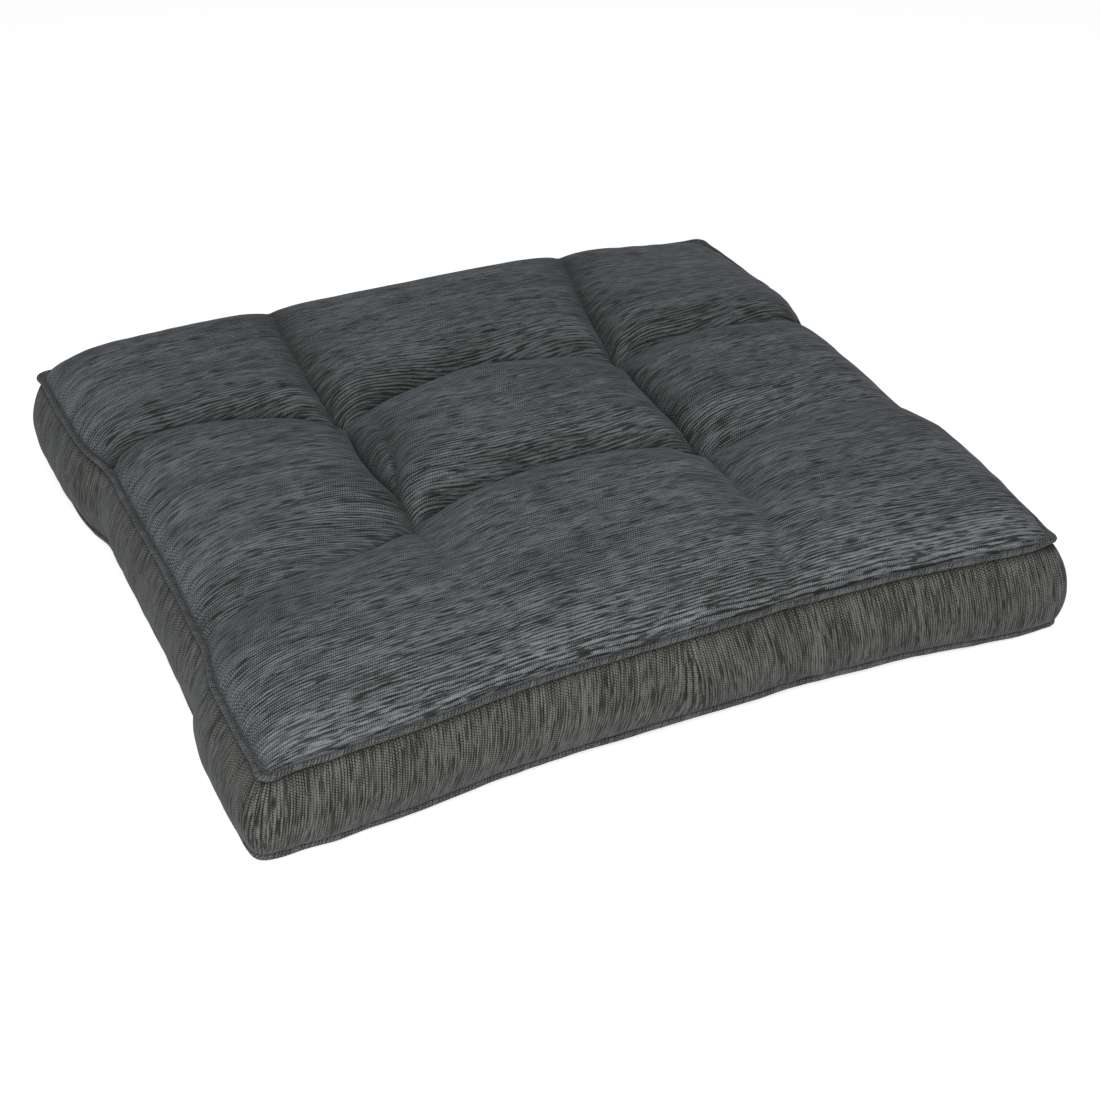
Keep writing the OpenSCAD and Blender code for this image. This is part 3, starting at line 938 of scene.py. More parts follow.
@dataclass
class StuffedCover:
    """The cover's fabric, cut to size, filled and tufted by a cloth simulation."""

    form: CushionForm
    grid: CoverGrid = field(default_factory=CoverGrid)
    fullness: float = 1.045
    cut_band: float = 67 * MM
    cut_band_corner: float = 57 * MM
    cut_pull: float = 6 * MM
    pressure: float = 7.0
    steps: int = 26
    hold: float = 0.22
    crease_hold: float = 0.95
    crease_depth: float = 17 * MM
    smoothing: int = 9
    tuft_grip: float = 6.5 * MM
    flat_margin: float = 30 * MM

    def held_shape(self) -> np.ndarray:
        """Points of the cover in the shape that the filling holds, before the fabric settles."""
        u, v = self.grid.shares()
        top = self.form.top(u, v).reshape(-1, 3)
        under = self.form.under(u, v).reshape(-1, 3)
        rim = self.grid.rim()
        rows = []
        outward, _ = path_frame(top[rim], unit(top[rim] * (1, 1, 0)), closed=True)
        outward = unit(outward * (1, 1, 0))
        for k in range(1, self.grid.up):
            t = k / self.grid.up
            bulge = 4 * t * (1 - t) * self.form.bulge_along(top[rim])
            rows.append(top[rim] * (1 - t) + under[rim] * t + outward * bulge[:, None])
        return np.concatenate([top, under, *rows])

    def cut_shape(self) -> np.ndarray:
        """Points of the cover as cut, which set the fabric's own lengths."""
        u, v = self.grid.shares()
        x = u * self.fullness * (self.form.corner_x - self.cut_pull * (1 - v**2))
        y = v * self.fullness * (self.form.corner_y - self.cut_pull * (1 - u**2))
        to_corner = np.minimum(np.abs(u), np.abs(v)) ** 8
        height = self.cut_band + (self.cut_band_corner - self.cut_band) * to_corner
        top = np.stack([x, y, height], -1).reshape(-1, 3)
        under = np.stack([x, y, 0 * height], -1).reshape(-1, 3)
        rim = self.grid.rim()
        rows = [top[rim] * (1 - k / self.grid.up) + under[rim] * k / self.grid.up
                for k in range(1, self.grid.up)]
        return np.concatenate([top, under, *rows])

    def grip(self, points: np.ndarray) -> np.ndarray:
        """How firmly each point is held: tufts and the resting underside fully, the rest lightly."""
        count = self.grid.panel_points
        u, v = self.grid.shares()
        from_side = (1 - np.abs(u)) * self.form.corner_x
        from_end = (1 - np.abs(v)) * self.form.corner_y
        margin = np.minimum(from_side, from_end).ravel()
        grip = np.full(len(points), self.hold)
        near = np.min([np.linalg.norm(points[:, :2] - spot, axis=1) for spot in self.form.tufts.values()], 0)
        near[2 * count:] = 1.0
        u_top, v_top = u.ravel(), v.ravel()
        deep = self.form.edge_rise(u_top, v_top) * self.form.quilting(points[:count, :2])
        grip[:count] += (self.crease_hold - self.hold) * (deep > self.crease_depth)
        grip[near < self.tuft_grip] = 1.0
        under = np.zeros(len(points), bool)
        under[count:2 * count] = margin > self.flat_margin
        grip[under] = 1.0
        return grip

    def settle(self) -> np.ndarray:
        """Fill the cover: cloth under pressure, held at the tufts, resting on the floor.

        Returns:
            The settled points of the cover.
        """
        held = self.held_shape()
        faces, _ = self.grid.faces()
        scene = bpy.context.scene
        cover = bpy.data.objects.new("cover_blank", new_mesh("cover_blank", held, faces))
        scene.collection.objects.link(cover)
        cover.shape_key_add(name="Basis")
        cut = cover.shape_key_add(name="cut")
        cut.data.foreach_set("co", self.cut_shape().ravel())
        group = cover.vertex_groups.new(name="grip")
        grip = self.grip(held)
        for level in np.unique(grip):
            group.add(np.nonzero(grip == level)[0].tolist(), float(level), "REPLACE")
        cloth = cover.modifiers.new("filling", "CLOTH")
        self.dress_cloth(cloth, cut)
        floor = self.rest_floor()
        for step in range(1, self.steps + 1):
            scene.frame_set(step)
        settled = cover.evaluated_get(bpy.context.evaluated_depsgraph_get()).data
        points = np.empty(len(held) * 3)
        settled.vertices.foreach_get("co", points)
        bpy.data.objects.remove(cover)
        bpy.data.objects.remove(floor)
        scene.frame_set(1)
        LOG.info("cover settled in %d steps", self.steps)
        return self.drawn_to_seams(points.reshape(-1, 3), held)

    def drawn_to_seams(self, settled: np.ndarray, held: np.ndarray) -> np.ndarray:
        """Bring the settled seams back to their lines, carrying the cloth between them along.

        Each panel point moves by a blend of the moves of the four seam points in line with it, less
        the blend of the four corners' moves. Band points move with the seams above and below.

        Args:
            settled: Points after the simulation.
            held: Points of the shape that the filling holds.

        Returns:
            The moved points, none of them below the floor.
        """
        moved = settled.copy()
        rim, count = self.grid.rim(), self.grid.panel_points
        size = (self.grid.across + 1, self.grid.along + 1, 3)
        moves = {}
        for start in (0, count):
            pull = held[rim + start] - settled[rim + start]
            for _ in range(self.smoothing):
                pull = (np.roll(pull, 1, 0) + 2 * pull + np.roll(pull, -1, 0)) / 4
            field_ = np.zeros((count, 3))
            field_[rim] = pull
            field_ = field_.reshape(size)
            s = np.linspace(0, 1, size[0])[:, None, None]
            t = np.linspace(0, 1, size[1])[None, :, None]
            sides = field_[:1] * (1 - s) + field_[-1:] * s + field_[:, :1] * (1 - t) + field_[:, -1:] * t
            corners = (field_[:1, :1] * (1 - s) * (1 - t) + field_[-1:, :1] * s * (1 - t)
                       + field_[:1, -1:] * (1 - s) * t + field_[-1:, -1:] * s * t)
            moved[start:start + count] += (sides - corners).reshape(-1, 3)
            moves[start] = pull
        for k, ring in enumerate(self.grid.band_rings()[1:-1], 1):
            t = k / self.grid.up
            moved[ring] += moves[0] * (1 - t) + moves[count] * t
        moved[:, 2] = np.maximum(moved[:, 2], 0)
        return moved

    def dress_cloth(self, cloth: bpy.types.Modifier, cut: bpy.types.ShapeKey) -> None:
        """Set the fabric's stiffness, its filling pressure and its hold.

        Args:
            cloth: The cloth modifier.
            cut: The shape key that holds the fabric's own lengths.
        """
        fabric = cloth.settings
        fabric.quality = 7
        fabric.mass = 0.3
        fabric.tension_stiffness = fabric.compression_stiffness = 25
        fabric.shear_stiffness = 8
        fabric.bending_stiffness = 0.35
        fabric.tension_damping = fabric.compression_damping = fabric.shear_damping = 8
        fabric.bending_damping = 0.6
        fabric.air_damping = 2
        fabric.use_pressure = True
        fabric.uniform_pressure_force = self.pressure
        fabric.vertex_group_mass = "grip"
        fabric.rest_shape_key = cut
        fabric.effector_weights.gravity = 0.0
        cloth.collision_settings.distance_min = 0.001
        cloth.collision_settings.collision_quality = 3
        cloth.point_cache.frame_start = 1
        cloth.point_cache.frame_end = self.steps

    def rest_floor(self) -> bpy.types.Object:
        """Make the flat floor that the filled cover rests on while it settles."""
        mesh = bpy.data.meshes.new("rest_floor")
        mesh.from_pydata([(-1, -1, 0), (1, -1, 0), (1, 1, 0), (-1, 1, 0)], [], [(0, 1, 2, 3)])
        floor = bpy.data.objects.new("rest_floor", mesh)
        bpy.context.scene.collection.objects.link(floor)
        floor.modifiers.new("rest", "COLLISION")
        floor.collision.thickness_outer = 0.001
        return floor

    def cloth_coordinates(self) -> np.ndarray:
        """Corner coordinates in metres of cut fabric, u along the width or round the band."""
        u, v = self.grid.shares()
        flat = np.stack([u * self.form.corner_x, v * self.form.corner_y], -1).reshape(-1, 2) * self.fullness
        number = np.arange(self.grid.panel_points).reshape(self.grid.across + 1, self.grid.along + 1)
        quads = np.stack([number[:-1, :-1], number[1:, :-1], number[1:, 1:], number[:-1, 1:]], -1)
        quads = quads.reshape(-1, 4)
        rim = flat[self.grid.rim()]
        run = run_lengths(np.concatenate([rim, rim[:1]]))
        step = self.cut_band / self.grid.up
        k, i = (g.ravel() for g in np.meshgrid(np.arange(self.grid.up), np.arange(len(rim)), indexing="ij"))
        band = np.stack([
            np.stack([run[i], run[i], run[i + 1], run[i + 1]], -1),
            np.stack([-k * step, -(k + 1) * step, -(k + 1) * step, -k * step], -1),
        ], -1)
        under = flat[quads[:, ::-1]] + (0, 1.0)
        return np.concatenate([flat[quads], under, band + (0, 2.0)])


@dataclass
class FinePart:
    """One panel of the settled cover on a grid twice as fine."""

    points: np.ndarray
    faces: np.ndarray
    uv: np.ndarray
    normals: np.ndarray


def refine(cover: StuffedCover, points: np.ndarray) -> dict[Panel, FinePart]:
    """Subdivide the whole cover once, so that the panels share their seams, and take it apart.

    Args:
        cover: The cover.
        points: Its settled points.

    Returns:
        The three panels on a grid twice as fine.
    """
    faces, kinds = cover.grid.faces()
    mesh = new_mesh("cover_whole", points, faces, cover.cloth_coordinates().reshape(-1, 2))
    whole = bpy.data.objects.new("cover_whole", mesh)
    bpy.context.scene.collection.objects.link(whole)
    finer = whole.modifiers.new("finer", "SUBSURF")
    finer.levels = finer.render_levels = 1
    finer.uv_smooth = "NONE"
    fine = whole.evaluated_get(bpy.context.evaluated_depsgraph_get()).to_mesh()
    co = np.empty(len(fine.vertices) * 3)
    fine.vertices.foreach_get("co", co)
    normals = np.empty(len(fine.vertices) * 3)
    fine.vertices.foreach_get("normal", normals)
    quads = np.empty(len(fine.loops), dtype=np.int64)
    fine.loops.foreach_get("vertex_index", quads)
    uv = np.empty(len(fine.loops) * 2)
    fine.uv_layers[0].data.foreach_get("uv", uv)
    bpy.data.objects.remove(whole)
    co, normals = co.reshape(-1, 3), normals.reshape(-1, 3)
    quads, uv = quads.reshape(-1, 4), uv.reshape(-1, 4, 2)
    fine_kinds = np.repeat(kinds, 4)
    parts = {}
    for panel in Panel:
        mine = quads[fine_kinds == panel.value]
        used, local = np.unique(mine, return_inverse=True)
        parts[panel] = FinePart(co[used], local.reshape(-1, 4), uv[fine_kinds == panel.value], normals[used])
    return parts


def rim_of(part: FinePart) -> np.ndarray:
    """Put the points of a part's open edge in order.

    Args:
        part: A part with one open edge, such as the top panel.

    Returns:
        Point numbers along the edge.
    """
    return rims_of(part)[0]


def rims_of(part: FinePart) -> list[np.ndarray]:
    """Put the points of each open edge of a part in order.

    An edge that only one face uses is on a rim, and following such edges from point to point runs
    once round it.

    Args:
        part: A part with open edges.

    Returns:
        Point numbers along each rim.
    """
    starts = part.faces.ravel()
    ends = np.roll(part.faces, -1, 1).ravel()
    count = len(part.points)
    forward = starts * count + ends
    backward = ends * count + starts
    alone = ~np.isin(forward, backward)
    follow = dict(zip(starts[alone].tolist(), ends[alone].tolist()))
    rims = []
    while follow:
        first = next(iter(follow))
        rim = [first]
        step = follow.pop(first)
        while step != first:
            rim.append(step)
            step = follow.pop(step)
        rims.append(np.array(rim))
    return rims


@dataclass
class SeamLine:
    """The line of one seam round the cushion, with its own outward and upward directions."""

    points: np.ndarray
    outward: np.ndarray
    upward: np.ndarray

    @classmethod
    def along(cls, rim: np.ndarray, spacing: float = 2.6 * MM) -> "SeamLine":
        """Lay an evenly spaced line along a rim.

        Args:
            rim: Points of the rim in order, anticlockwise from above.
            spacing: Distance between the line's points.

        Returns:
            The seam line, whose first point lies at the middle of the front.
        """
        first = np.argmin(np.abs(rim[:, 0]) + 10 * (rim[:, 1] > 0))
        rim = np.roll(rim, -first, 0)
        closed = np.concatenate([rim, rim[:1]])
        run = run_lengths(closed)
        count = int(run[-1] / spacing)
        place = np.linspace(0, run[-1], count, endpoint=False)
        points = at_lengths(place, run, closed)
        for _ in range(2):
            points = (np.roll(points, 1, 0) + 2 * points + np.roll(points, -1, 0)) / 4
        travel = unit(np.roll(points, -1, 0) - np.roll(points, 1, 0))
        outward = unit(np.stack([travel[:, 1], -travel[:, 0], np.zeros(count)], -1))
        return cls(points, outward, np.cross(outward, travel))

    @property
    def share(self) -> np.ndarray:
        """Place of each point along the line, 0 to 1."""
        return np.arange(len(self.points)) / len(self.points)

    def near(self, spot: tuple[float, float], reach: float) -> np.ndarray:
        """Bump along the line that is 1 at the point nearest a plan spot and falls off with length."""
        closest = np.argmin(np.linalg.norm(self.points[:, :2] - spot, axis=1))
        steps = np.abs(np.arange(len(self.points)) - closest)
        steps = np.minimum(steps, len(self.points) - steps)
        spacing = np.linalg.norm(self.points[1] - self.points[0])
        return bell(steps * spacing, reach)

    def shifted(self, out: np.ndarray | float, up: np.ndarray | float) -> np.ndarray:
        """Points moved outward and upward by the given distances."""
        count = len(self.points)
        out = np.broadcast_to(out, count)[:, None]
        up = np.broadcast_to(up, count)[:, None]
        return self.points + out * self.outward + up * self.upward


# Piping loops at the top corners: side and end of the cushion, then how far out and how high.
TOP_CORNER_LOOPS = (
    (-1, -1, 3.5 * MM, 1.0 * MM),
    (1, -1, 1.0 * MM, 3.5 * MM),
    (-1, 1, 3.0 * MM, 1.5 * MM),
    (1, 1, 2.0 * MM, 1.0 * MM),
)
TOP_PIPING_LEAN = 0.6 * MM
BOTTOM_PIPING_LEAN = -0.2 * MM


@dataclass
class PipedSeam:
    """A seam with its piping: a folded strip round a filler cord, sewn in with one row of stitches."""

    name: str
    line: SeamLine
    lean: float
    welt: float = 4.2 * MM
    tongue: float = 9 * MM
    tongue_thickness: float = 1.4 * MM
    cord: float = 2.6 * MM
    thread: float = 0.8 * MM
    stitch_inset: float = 5 * MM
    stitch: float = 3.6 * MM
    wall: float = 0.6 * MM
    loops: tuple[tuple[float, float, float, float], ...] = ()

    def centre(self) -> np.ndarray:
        """Points of the cord's middle: half a welt out from the seam, with small loops at corners."""
        out = 0.9 * MM + 0.25 * MM * smooth_waves(self.line.share, 11, 14, 20, 70)
        up = self.lean + 0.3 * MM * smooth_waves(self.line.share, 12, 14, 14, 60)
        for x, y, further, higher in self.loops:
            bump = self.line.near((x, y), 11 * MM)
            out = out + further * bump
            up = up + higher * bump
        return self.line.shifted(out, up)

    def sleeve_section(self) -> np.ndarray:
        """Section of the sleeve: most of a circle with a flat tongue that runs into the seam."""
        radius = self.welt / 2
        open_angle = math.asin(self.tongue_thickness / 2 / radius)
        turn = np.linspace(np.pi - open_angle, open_angle - np.pi, 15)
        ring = radius * np.stack([np.cos(turn), np.sin(turn)], -1)
        half = self.tongue_thickness / 2
        root = -radius - 1.5 * MM
        tongue = np.array([[root, -half], [-self.tongue, -half], [-self.tongue, half], [root, half]])
        return np.concatenate([ring, tongue])

    def sleeve(self, material: bpy.types.Material) -> bpy.types.Object:
        """Make the folded fabric sleeve, slightly fuller and thinner along its length."""
        path = self.centre()
        share = self.line.share
        fullness = 1 + 0.045 * smooth_waves(share, 13, 18, 30, 160)
        section = self.sleeve_section()[None] * fullness[:, None, None]
        mesh = sweep(self.name + "_sleeve", path, self.line.outward, self.line.upward, section, True)
        piece = new_piece(mesh, material, "piping_fabric", self.name + "_sleeve")
        wall = piece.modifiers.new("fabric", "SOLIDIFY")
        wall.thickness = self.wall
        wall.offset = -1
        return piece

    def filler(self, material: bpy.types.Material) -> bpy.types.Object:
        """Make the cord inside the sleeve."""
        mesh = sweep(
            self.name + "_cord", self.centre(), self.line.outward, self.line.upward,
            circle(self.cord, 10), True,
        )
        return new_piece(mesh, material, "filler_cord", self.name + "_cord")

    def stitches(self, node: str, material: bpy.types.Material) -> bpy.types.Object:
        """Make the thread that goes up and down through the tongue, one stitch after another."""
        run = self.line.share * len(self.line.points) * 2.6 * MM
        wave = np.sin(np.pi * run / self.stitch) * (self.tongue_thickness / 2 + 0.5 * MM)
        path = self.centre() - self.stitch_inset * self.line.outward + wave[:, None] * self.line.upward
        side, rise = path_frame(path, self.line.outward, closed=True)
        mesh = sweep(node, path, side, rise, circle(self.thread, 6), True)
        return new_piece(mesh, material, "sewing_thread", node)


@dataclass
class FabricPanel:
    """A panel of the cover with its own thickness, edges turned in at the seams."""

    node: str
    part: FinePart
    slot: str
    tucks: np.ndarray
    # Share of painted shade at each point: in folds, round tufts and under the piping.
    fold: np.ndarray
    fabric: float = 1.2 * MM
    fill: float = 0.75

    @property
    def points(self) -> np.ndarray:
        """The panel's points in their final places."""
        return self.part.points + self.tucks

    def height_at(self, spot: np.ndarray) -> float:
        """Height of the panel at the point nearest a plan spot."""
        points = self.points
        return float(points[np.argmin(np.linalg.norm(points[:, :2] - spot, axis=1)), 2])

    def build(self, material: bpy.types.Material) -> bpy.types.Object:
        """Make the panel and give it its thickness inward.

        Args:
            material: The panel's weave.

        Returns:
            The panel.
        """
        mesh = new_mesh(self.node, self.points, self.part.faces, self.part.uv.reshape(-1, 2))
        # Stores the painted shade as the fold attribute, which darkens the weave's colour.
        layer = mesh.attributes.new("fold", "FLOAT", "POINT")
        layer.data.foreach_set("value", self.fold.astype(np.float32))
        piece = new_piece(mesh, material, self.slot, self.node)
        wall = piece.modifiers.new("fabric", "SOLIDIFY")
        wall.thickness = self.fabric
        wall.offset = -1
        return piece


@dataclass
class CoverMaking:
    """Turns the settled cover into its three panels."""

    form: CushionForm
    parts: dict[Panel, FinePart]
    tuck: float = 1.0 * MM
    tuck_reach: float = 3.0 * MM
    pucker: float = 0.9 * MM
    pucker_reach: float = 16 * MM
    star: float = 1.6 * MM
    star_reach: float = 26 * MM
    fold_fade: float = 14 * MM
    deepest_sink: float = 9 * MM
    band_tuck: float = 2.6 * MM
    band_tuck_reach: float = 2.4 * MM
    joint_groove: float = 1.4 * MM
    joint_width: float = 2.6 * MM
    # Painted shade in the colour: across the valleys (share and width pairs), under the piping and round the
    # tufts.
    fold_shade: tuple[tuple[float, float], ...] = ((0.26, 28 * MM), (0.55, 17 * MM), (0.30, 4 * MM))
    shade_reach: float = 4.8 * MM
    tuft_shade: float = 0.85
    tuft_shade_reach: float = 17 * MM

    def seam_distance(self, part: FinePart) -> tuple[np.ndarray, np.ndarray]:
        """Distance of each point from the nearest rim point, and that rim point's place along it."""
        away = np.full(len(part.points), 1e9)
        place = np.zeros(len(part.points))
        for rim in rims_of(part):
            line = part.points[rim]
            for block in np.array_split(np.arange(len(part.points)), 24):
                gap = np.linalg.norm(part.points[block][:, None] - line[None], axis=-1)
                nearest = gap.argmin(1)
                closer = gap[np.arange(len(block)), nearest] < away[block]
                chosen = block[closer]
                away[chosen] = gap[np.arange(len(block)), nearest][closer]
                place[chosen] = nearest[closer] / len(rim)
        return away, place

    def seam_tuck(self, part: FinePart, seed: int, tuck: float, reach: float) -> np.ndarray:
        """Moves that turn the edge in under the piping and pucker the cloth beside it.

        The edge goes inward by the tuck. Beside it the cloth waves in and out along the seam, most
        at half the pucker's reach.

        Args:
            part: The panel.
            seed: Seed of the puckers.
            tuck: How far the edge goes in.
            reach: How far from the seam the turn-in reaches.

        Returns:
            One move for each point.
        """
        away, place = self.seam_distance(part)
        depth = tuck * bell(away, reach)
        waves = smooth_waves(place, seed, 22, 24, 110) * 0.6 + smooth_waves(place, seed + 1, 7, 9, 22) * 0.4
        swell = self.pucker * waves * (away / self.pucker_reach) * bell(away, self.pucker_reach, 1.4) * 2.0
        return part.normals * (swell - depth)[:, None]

    def tuft_stars(self, part: FinePart) -> np.ndarray:
        """Moves that crease the cloth towards each tuft: waves round it that die away outward."""
        move = np.zeros(len(part.points))
        for number, spot in enumerate(self.form.tufts.values()):
            rel = part.points[:, :2] - spot
            away = np.linalg.norm(rel, axis=1)
            around = np.arctan2(rel[:, 1], rel[:, 0]) / (2 * np.pi)
            waves = smooth_waves(around, 40 + number, 6, 5, 13)
            strength = (away / self.star_reach) * bell(away, self.star_reach, 1.6) * 1.8
            move += self.star * waves * strength
        return part.normals * move[:, None]

    def folds(self, part: FinePart) -> np.ndarray:
        """Moves that press the mounds together along every valley, fading out at the seams."""
        place = part.points[:, :2]
        away, _ = self.seam_distance(part)
        fade = np.minimum(away / self.fold_fade, 1)[:, None]
        moves = np.sum([valley.pinch(place, self.form.half) for valley in self.form.valleys()], axis=0)
        moves[:, 2] = np.maximum(moves[:, 2], -self.deepest_sink)
        return moves * fade

    def painted_shade_at(self, part: FinePart, seam_share: float, in_valleys: bool = False) -> np.ndarray:
        """Share of painted shade at each point, which darkens its colour: in a valley's fold, at a tuft or
        under the piping.

        Args:
            part: The panel.
            seam_share: Share of painted shade at the panel's edge, under the piping.
            in_valleys: Whether the panel has the valleys.

        Returns:
            Shares from 0 to 1.
        """
        away, _ = self.seam_distance(part)
        depth = seam_share * bell(away, self.shade_reach, 4.0)
        if in_valleys:
            for valley in self.form.valleys():
                deep = valley.depth_in_fold(part.points[:, :2], self.form.half, *self.fold_shade)
                depth = np.maximum(depth, deep)
            for spot in self.form.tufts.values():
                away = np.linalg.norm(part.points[:, :2] - spot, axis=1)
                depth = np.maximum(depth, self.tuft_shade * bell(away, self.tuft_shade_reach, 1.5))
        return depth

    def joint(self, part: FinePart) -> np.ndarray:
        """Moves that sink the upright joint at the middle of the band's back."""
        at_back = part.points[:, 1] > 0
        sink = self.joint_groove * bell(part.points[:, 0], self.joint_width) * at_back
        return -part.normals * sink[:, None]

    def panels(self) -> dict[Panel, FabricPanel]:
        """Return the three panels, each with its edges, puckers, creases and painted shade worked out."""
        top, under, band = (self.parts[p] for p in Panel)
        top_moves = self.seam_tuck(top, 21, self.tuck, self.tuck_reach)
        top_moves = top_moves + self.tuft_stars(top) + self.folds(top)
        under_moves = self.seam_tuck(under, 23, self.tuck, self.tuck_reach)
        under_moves = self.kept_off_floor(under, under_moves)
        band_moves = self.seam_tuck(band, 25, self.band_tuck, self.band_tuck_reach) + self.joint(band)
        band_moves = self.kept_off_floor(band, band_moves)
        # Painted shade for each panel: under the piping on all three, and in the folds and round the tufts on
        # the top.
        top_painted_shade = self.painted_shade_at(top, 0.45, True)
        under_painted_shade = self.painted_shade_at(under, 0.4)
        band_painted_shade = self.painted_shade_at(band, 1.0)
        return {
            Panel.TOP: FabricPanel("top_panel", top, "panel_fabric", top_moves, top_painted_shade),
            Panel.BOTTOM: FabricPanel("bottom_panel", under, "panel_fabric", under_moves, under_painted_shade),
            Panel.BAND: FabricPanel("side_band", band, "band_fabric", band_moves, band_painted_shade),
        }

    def kept_off_floor(self, part: FinePart, moves: np.ndarray) -> np.ndarray:
        """Limit moves so that no point goes below the floor."""
        height = np.maximum(part.points[:, 2] + moves[:, 2], 0.0)
        return np.stack([moves[:, 0], moves[:, 1], height - part.points[:, 2]], -1)


@dataclass
class Stuffing:
    """The fibre filling: the cover's own form, a little smaller all round and more at the seams."""

    cover: StuffedCover
    gap: float = 2.2 * MM
    seam_gap: float = 9.5 * MM
    fold_gap: float = 10 * MM
    fold_reach: float = 15 * MM

    def build(self, points: np.ndarray, material: bpy.types.Material) -> bpy.types.Object:
        """Make the filling from the settled cover's points.

        Args:
            points: The settled points of the cover.
            material: Its fibre.

        Returns:
            The filling.
        """
        faces, _ = self.cover.grid.faces()
        mesh = new_mesh("fibre_fill", points, faces)
        normals = np.empty(len(points) * 3)
        mesh.vertices.foreach_get("normal", normals)
        inset = np.full(len(points), self.gap)
        rim = self.cover.grid.rim()
        inset[rim] = inset[rim + self.cover.grid.panel_points] = self.seam_gap
        inner = points - normals.reshape(-1, 3) * inset[:, None]
        top = slice(0, self.cover.grid.panel_points)
        form = self.cover.form
        width = (1.0, self.fold_reach)
        folds = [line.depth_in_fold(points[top, :2], form.half, width) for line in form.valleys()]
        inner[top, 2] -= self.fold_gap * np.max(folds, axis=0)
        mesh.vertices.foreach_set("co", inner.ravel())
        mesh.update()
        piece = new_piece(mesh, material, "fibre_filling", "fibre_fill")
        return piece


@dataclass
class TuftTie:
    """One tuft: twine through the filling, a short stitch on top and a knot underneath."""

    name: str
    spot: np.ndarray
    top: float
    under: float
    twine: float = 2 * MM
    stitch: float = 9 * MM
    knot: float = 6 * MM

    def strand(self) -> np.ndarray:
        """Route of the twine: up one leg, over the stitch, down the other and together at the knot."""
        half = self.stitch / 2
        over, low = self.top + 0.6 * self.twine, self.under - 0.5 * self.knot
        route = np.array([
            (0.1, 0.0, low), (0.5, 0.0, low + 5 * MM), (0.85, 0.0, self.under + 14 * MM),
            (0.95, 0.0, self.top - 12 * MM), (0.95, 0.0, self.top - 3 * MM), (0.6, 0.0, over),
            (-0.6, 0.0, over), (-0.95, 0.0, self.top - 3 * MM), (-0.95, 0.0, self.top - 12 * MM),
            (-0.85, 0.0, self.under + 14 * MM), (-0.5, 0.0, low + 5 * MM), (-0.1, 0.0, low),
        ])
        return smooth_route(route * (half, 1, 1) + (*self.spot, 0), 110)

    def knot_turns(self) -> np.ndarray:
        """Route of the knot: a trefoil, which winds twice round while it goes three times in and out."""
        t = np.linspace(0, 2 * np.pi, 60, endpoint=False)
        size = (self.knot - self.twine) / 2 / 3
        x = size * (np.sin(t) + 2 * np.sin(2 * t))
        y = size * (np.cos(t) - 2 * np.cos(2 * t))
        z = self.under - 0.5 * self.knot - size * np.sin(3 * t)
        return np.stack([x + self.spot[0], y + self.spot[1], z], -1)

    def build(self, material: bpy.types.Material) -> bpy.types.Object:
        """Make the tie and its knot as one piece of twine."""
        strand, knot = self.strand(), self.knot_turns()
        across = np.array([0.0, 1.0, 0.0])
        side, rise = path_frame(strand, across, closed=False)
        legs = sweep(self.name + "_legs", strand, side, rise, circle(self.twine, 10), False)
        side, rise = path_frame(knot, np.array([0.0, 0.0, 1.0]), closed=True)
        turns = sweep(self.name, knot, side, rise, circle(self.twine, 10), True)
        piece = new_piece(turns, material, "tufting_twine", self.name)
        self.join(turns, legs)
        return piece

    def join(self, mesh: bpy.types.Mesh, other: bpy.types.Mesh) -> None:
        """Add another mesh's faces to a mesh, keeping both sets of cloth coordinates."""
        points, faces, uv = [], [], []
        start = 0
        for part in (mesh, other):
            co = np.empty(len(part.vertices) * 3)
            part.vertices.foreach_get("co", co)
            quads = np.empty(len(part.loops), dtype=np.int64)
            part.loops.foreach_get("vertex_index", quads)
            corner = np.empty(len(part.loops) * 2)
            part.uv_layers[0].data.foreach_get("uv", corner)
            points.append(co.reshape(-1, 3))
            faces.append(quads.reshape(-1, 4) + start)
            uv.append(corner)
            start += len(part.vertices)
        mesh.clear_geometry()
        mesh.from_pydata(np.concatenate(points).tolist(), [], np.concatenate(faces).tolist())
        layer = mesh.uv_layers.get("cloth") or mesh.uv_layers.new(name="cloth")
        layer.data.foreach_set("uv", np.concatenate(uv).astype(np.float32))
        mesh.polygons.foreach_set("use_smooth", np.ones(len(mesh.polygons), dtype=bool))
        mesh.update()
        bpy.data.meshes.remove(other)


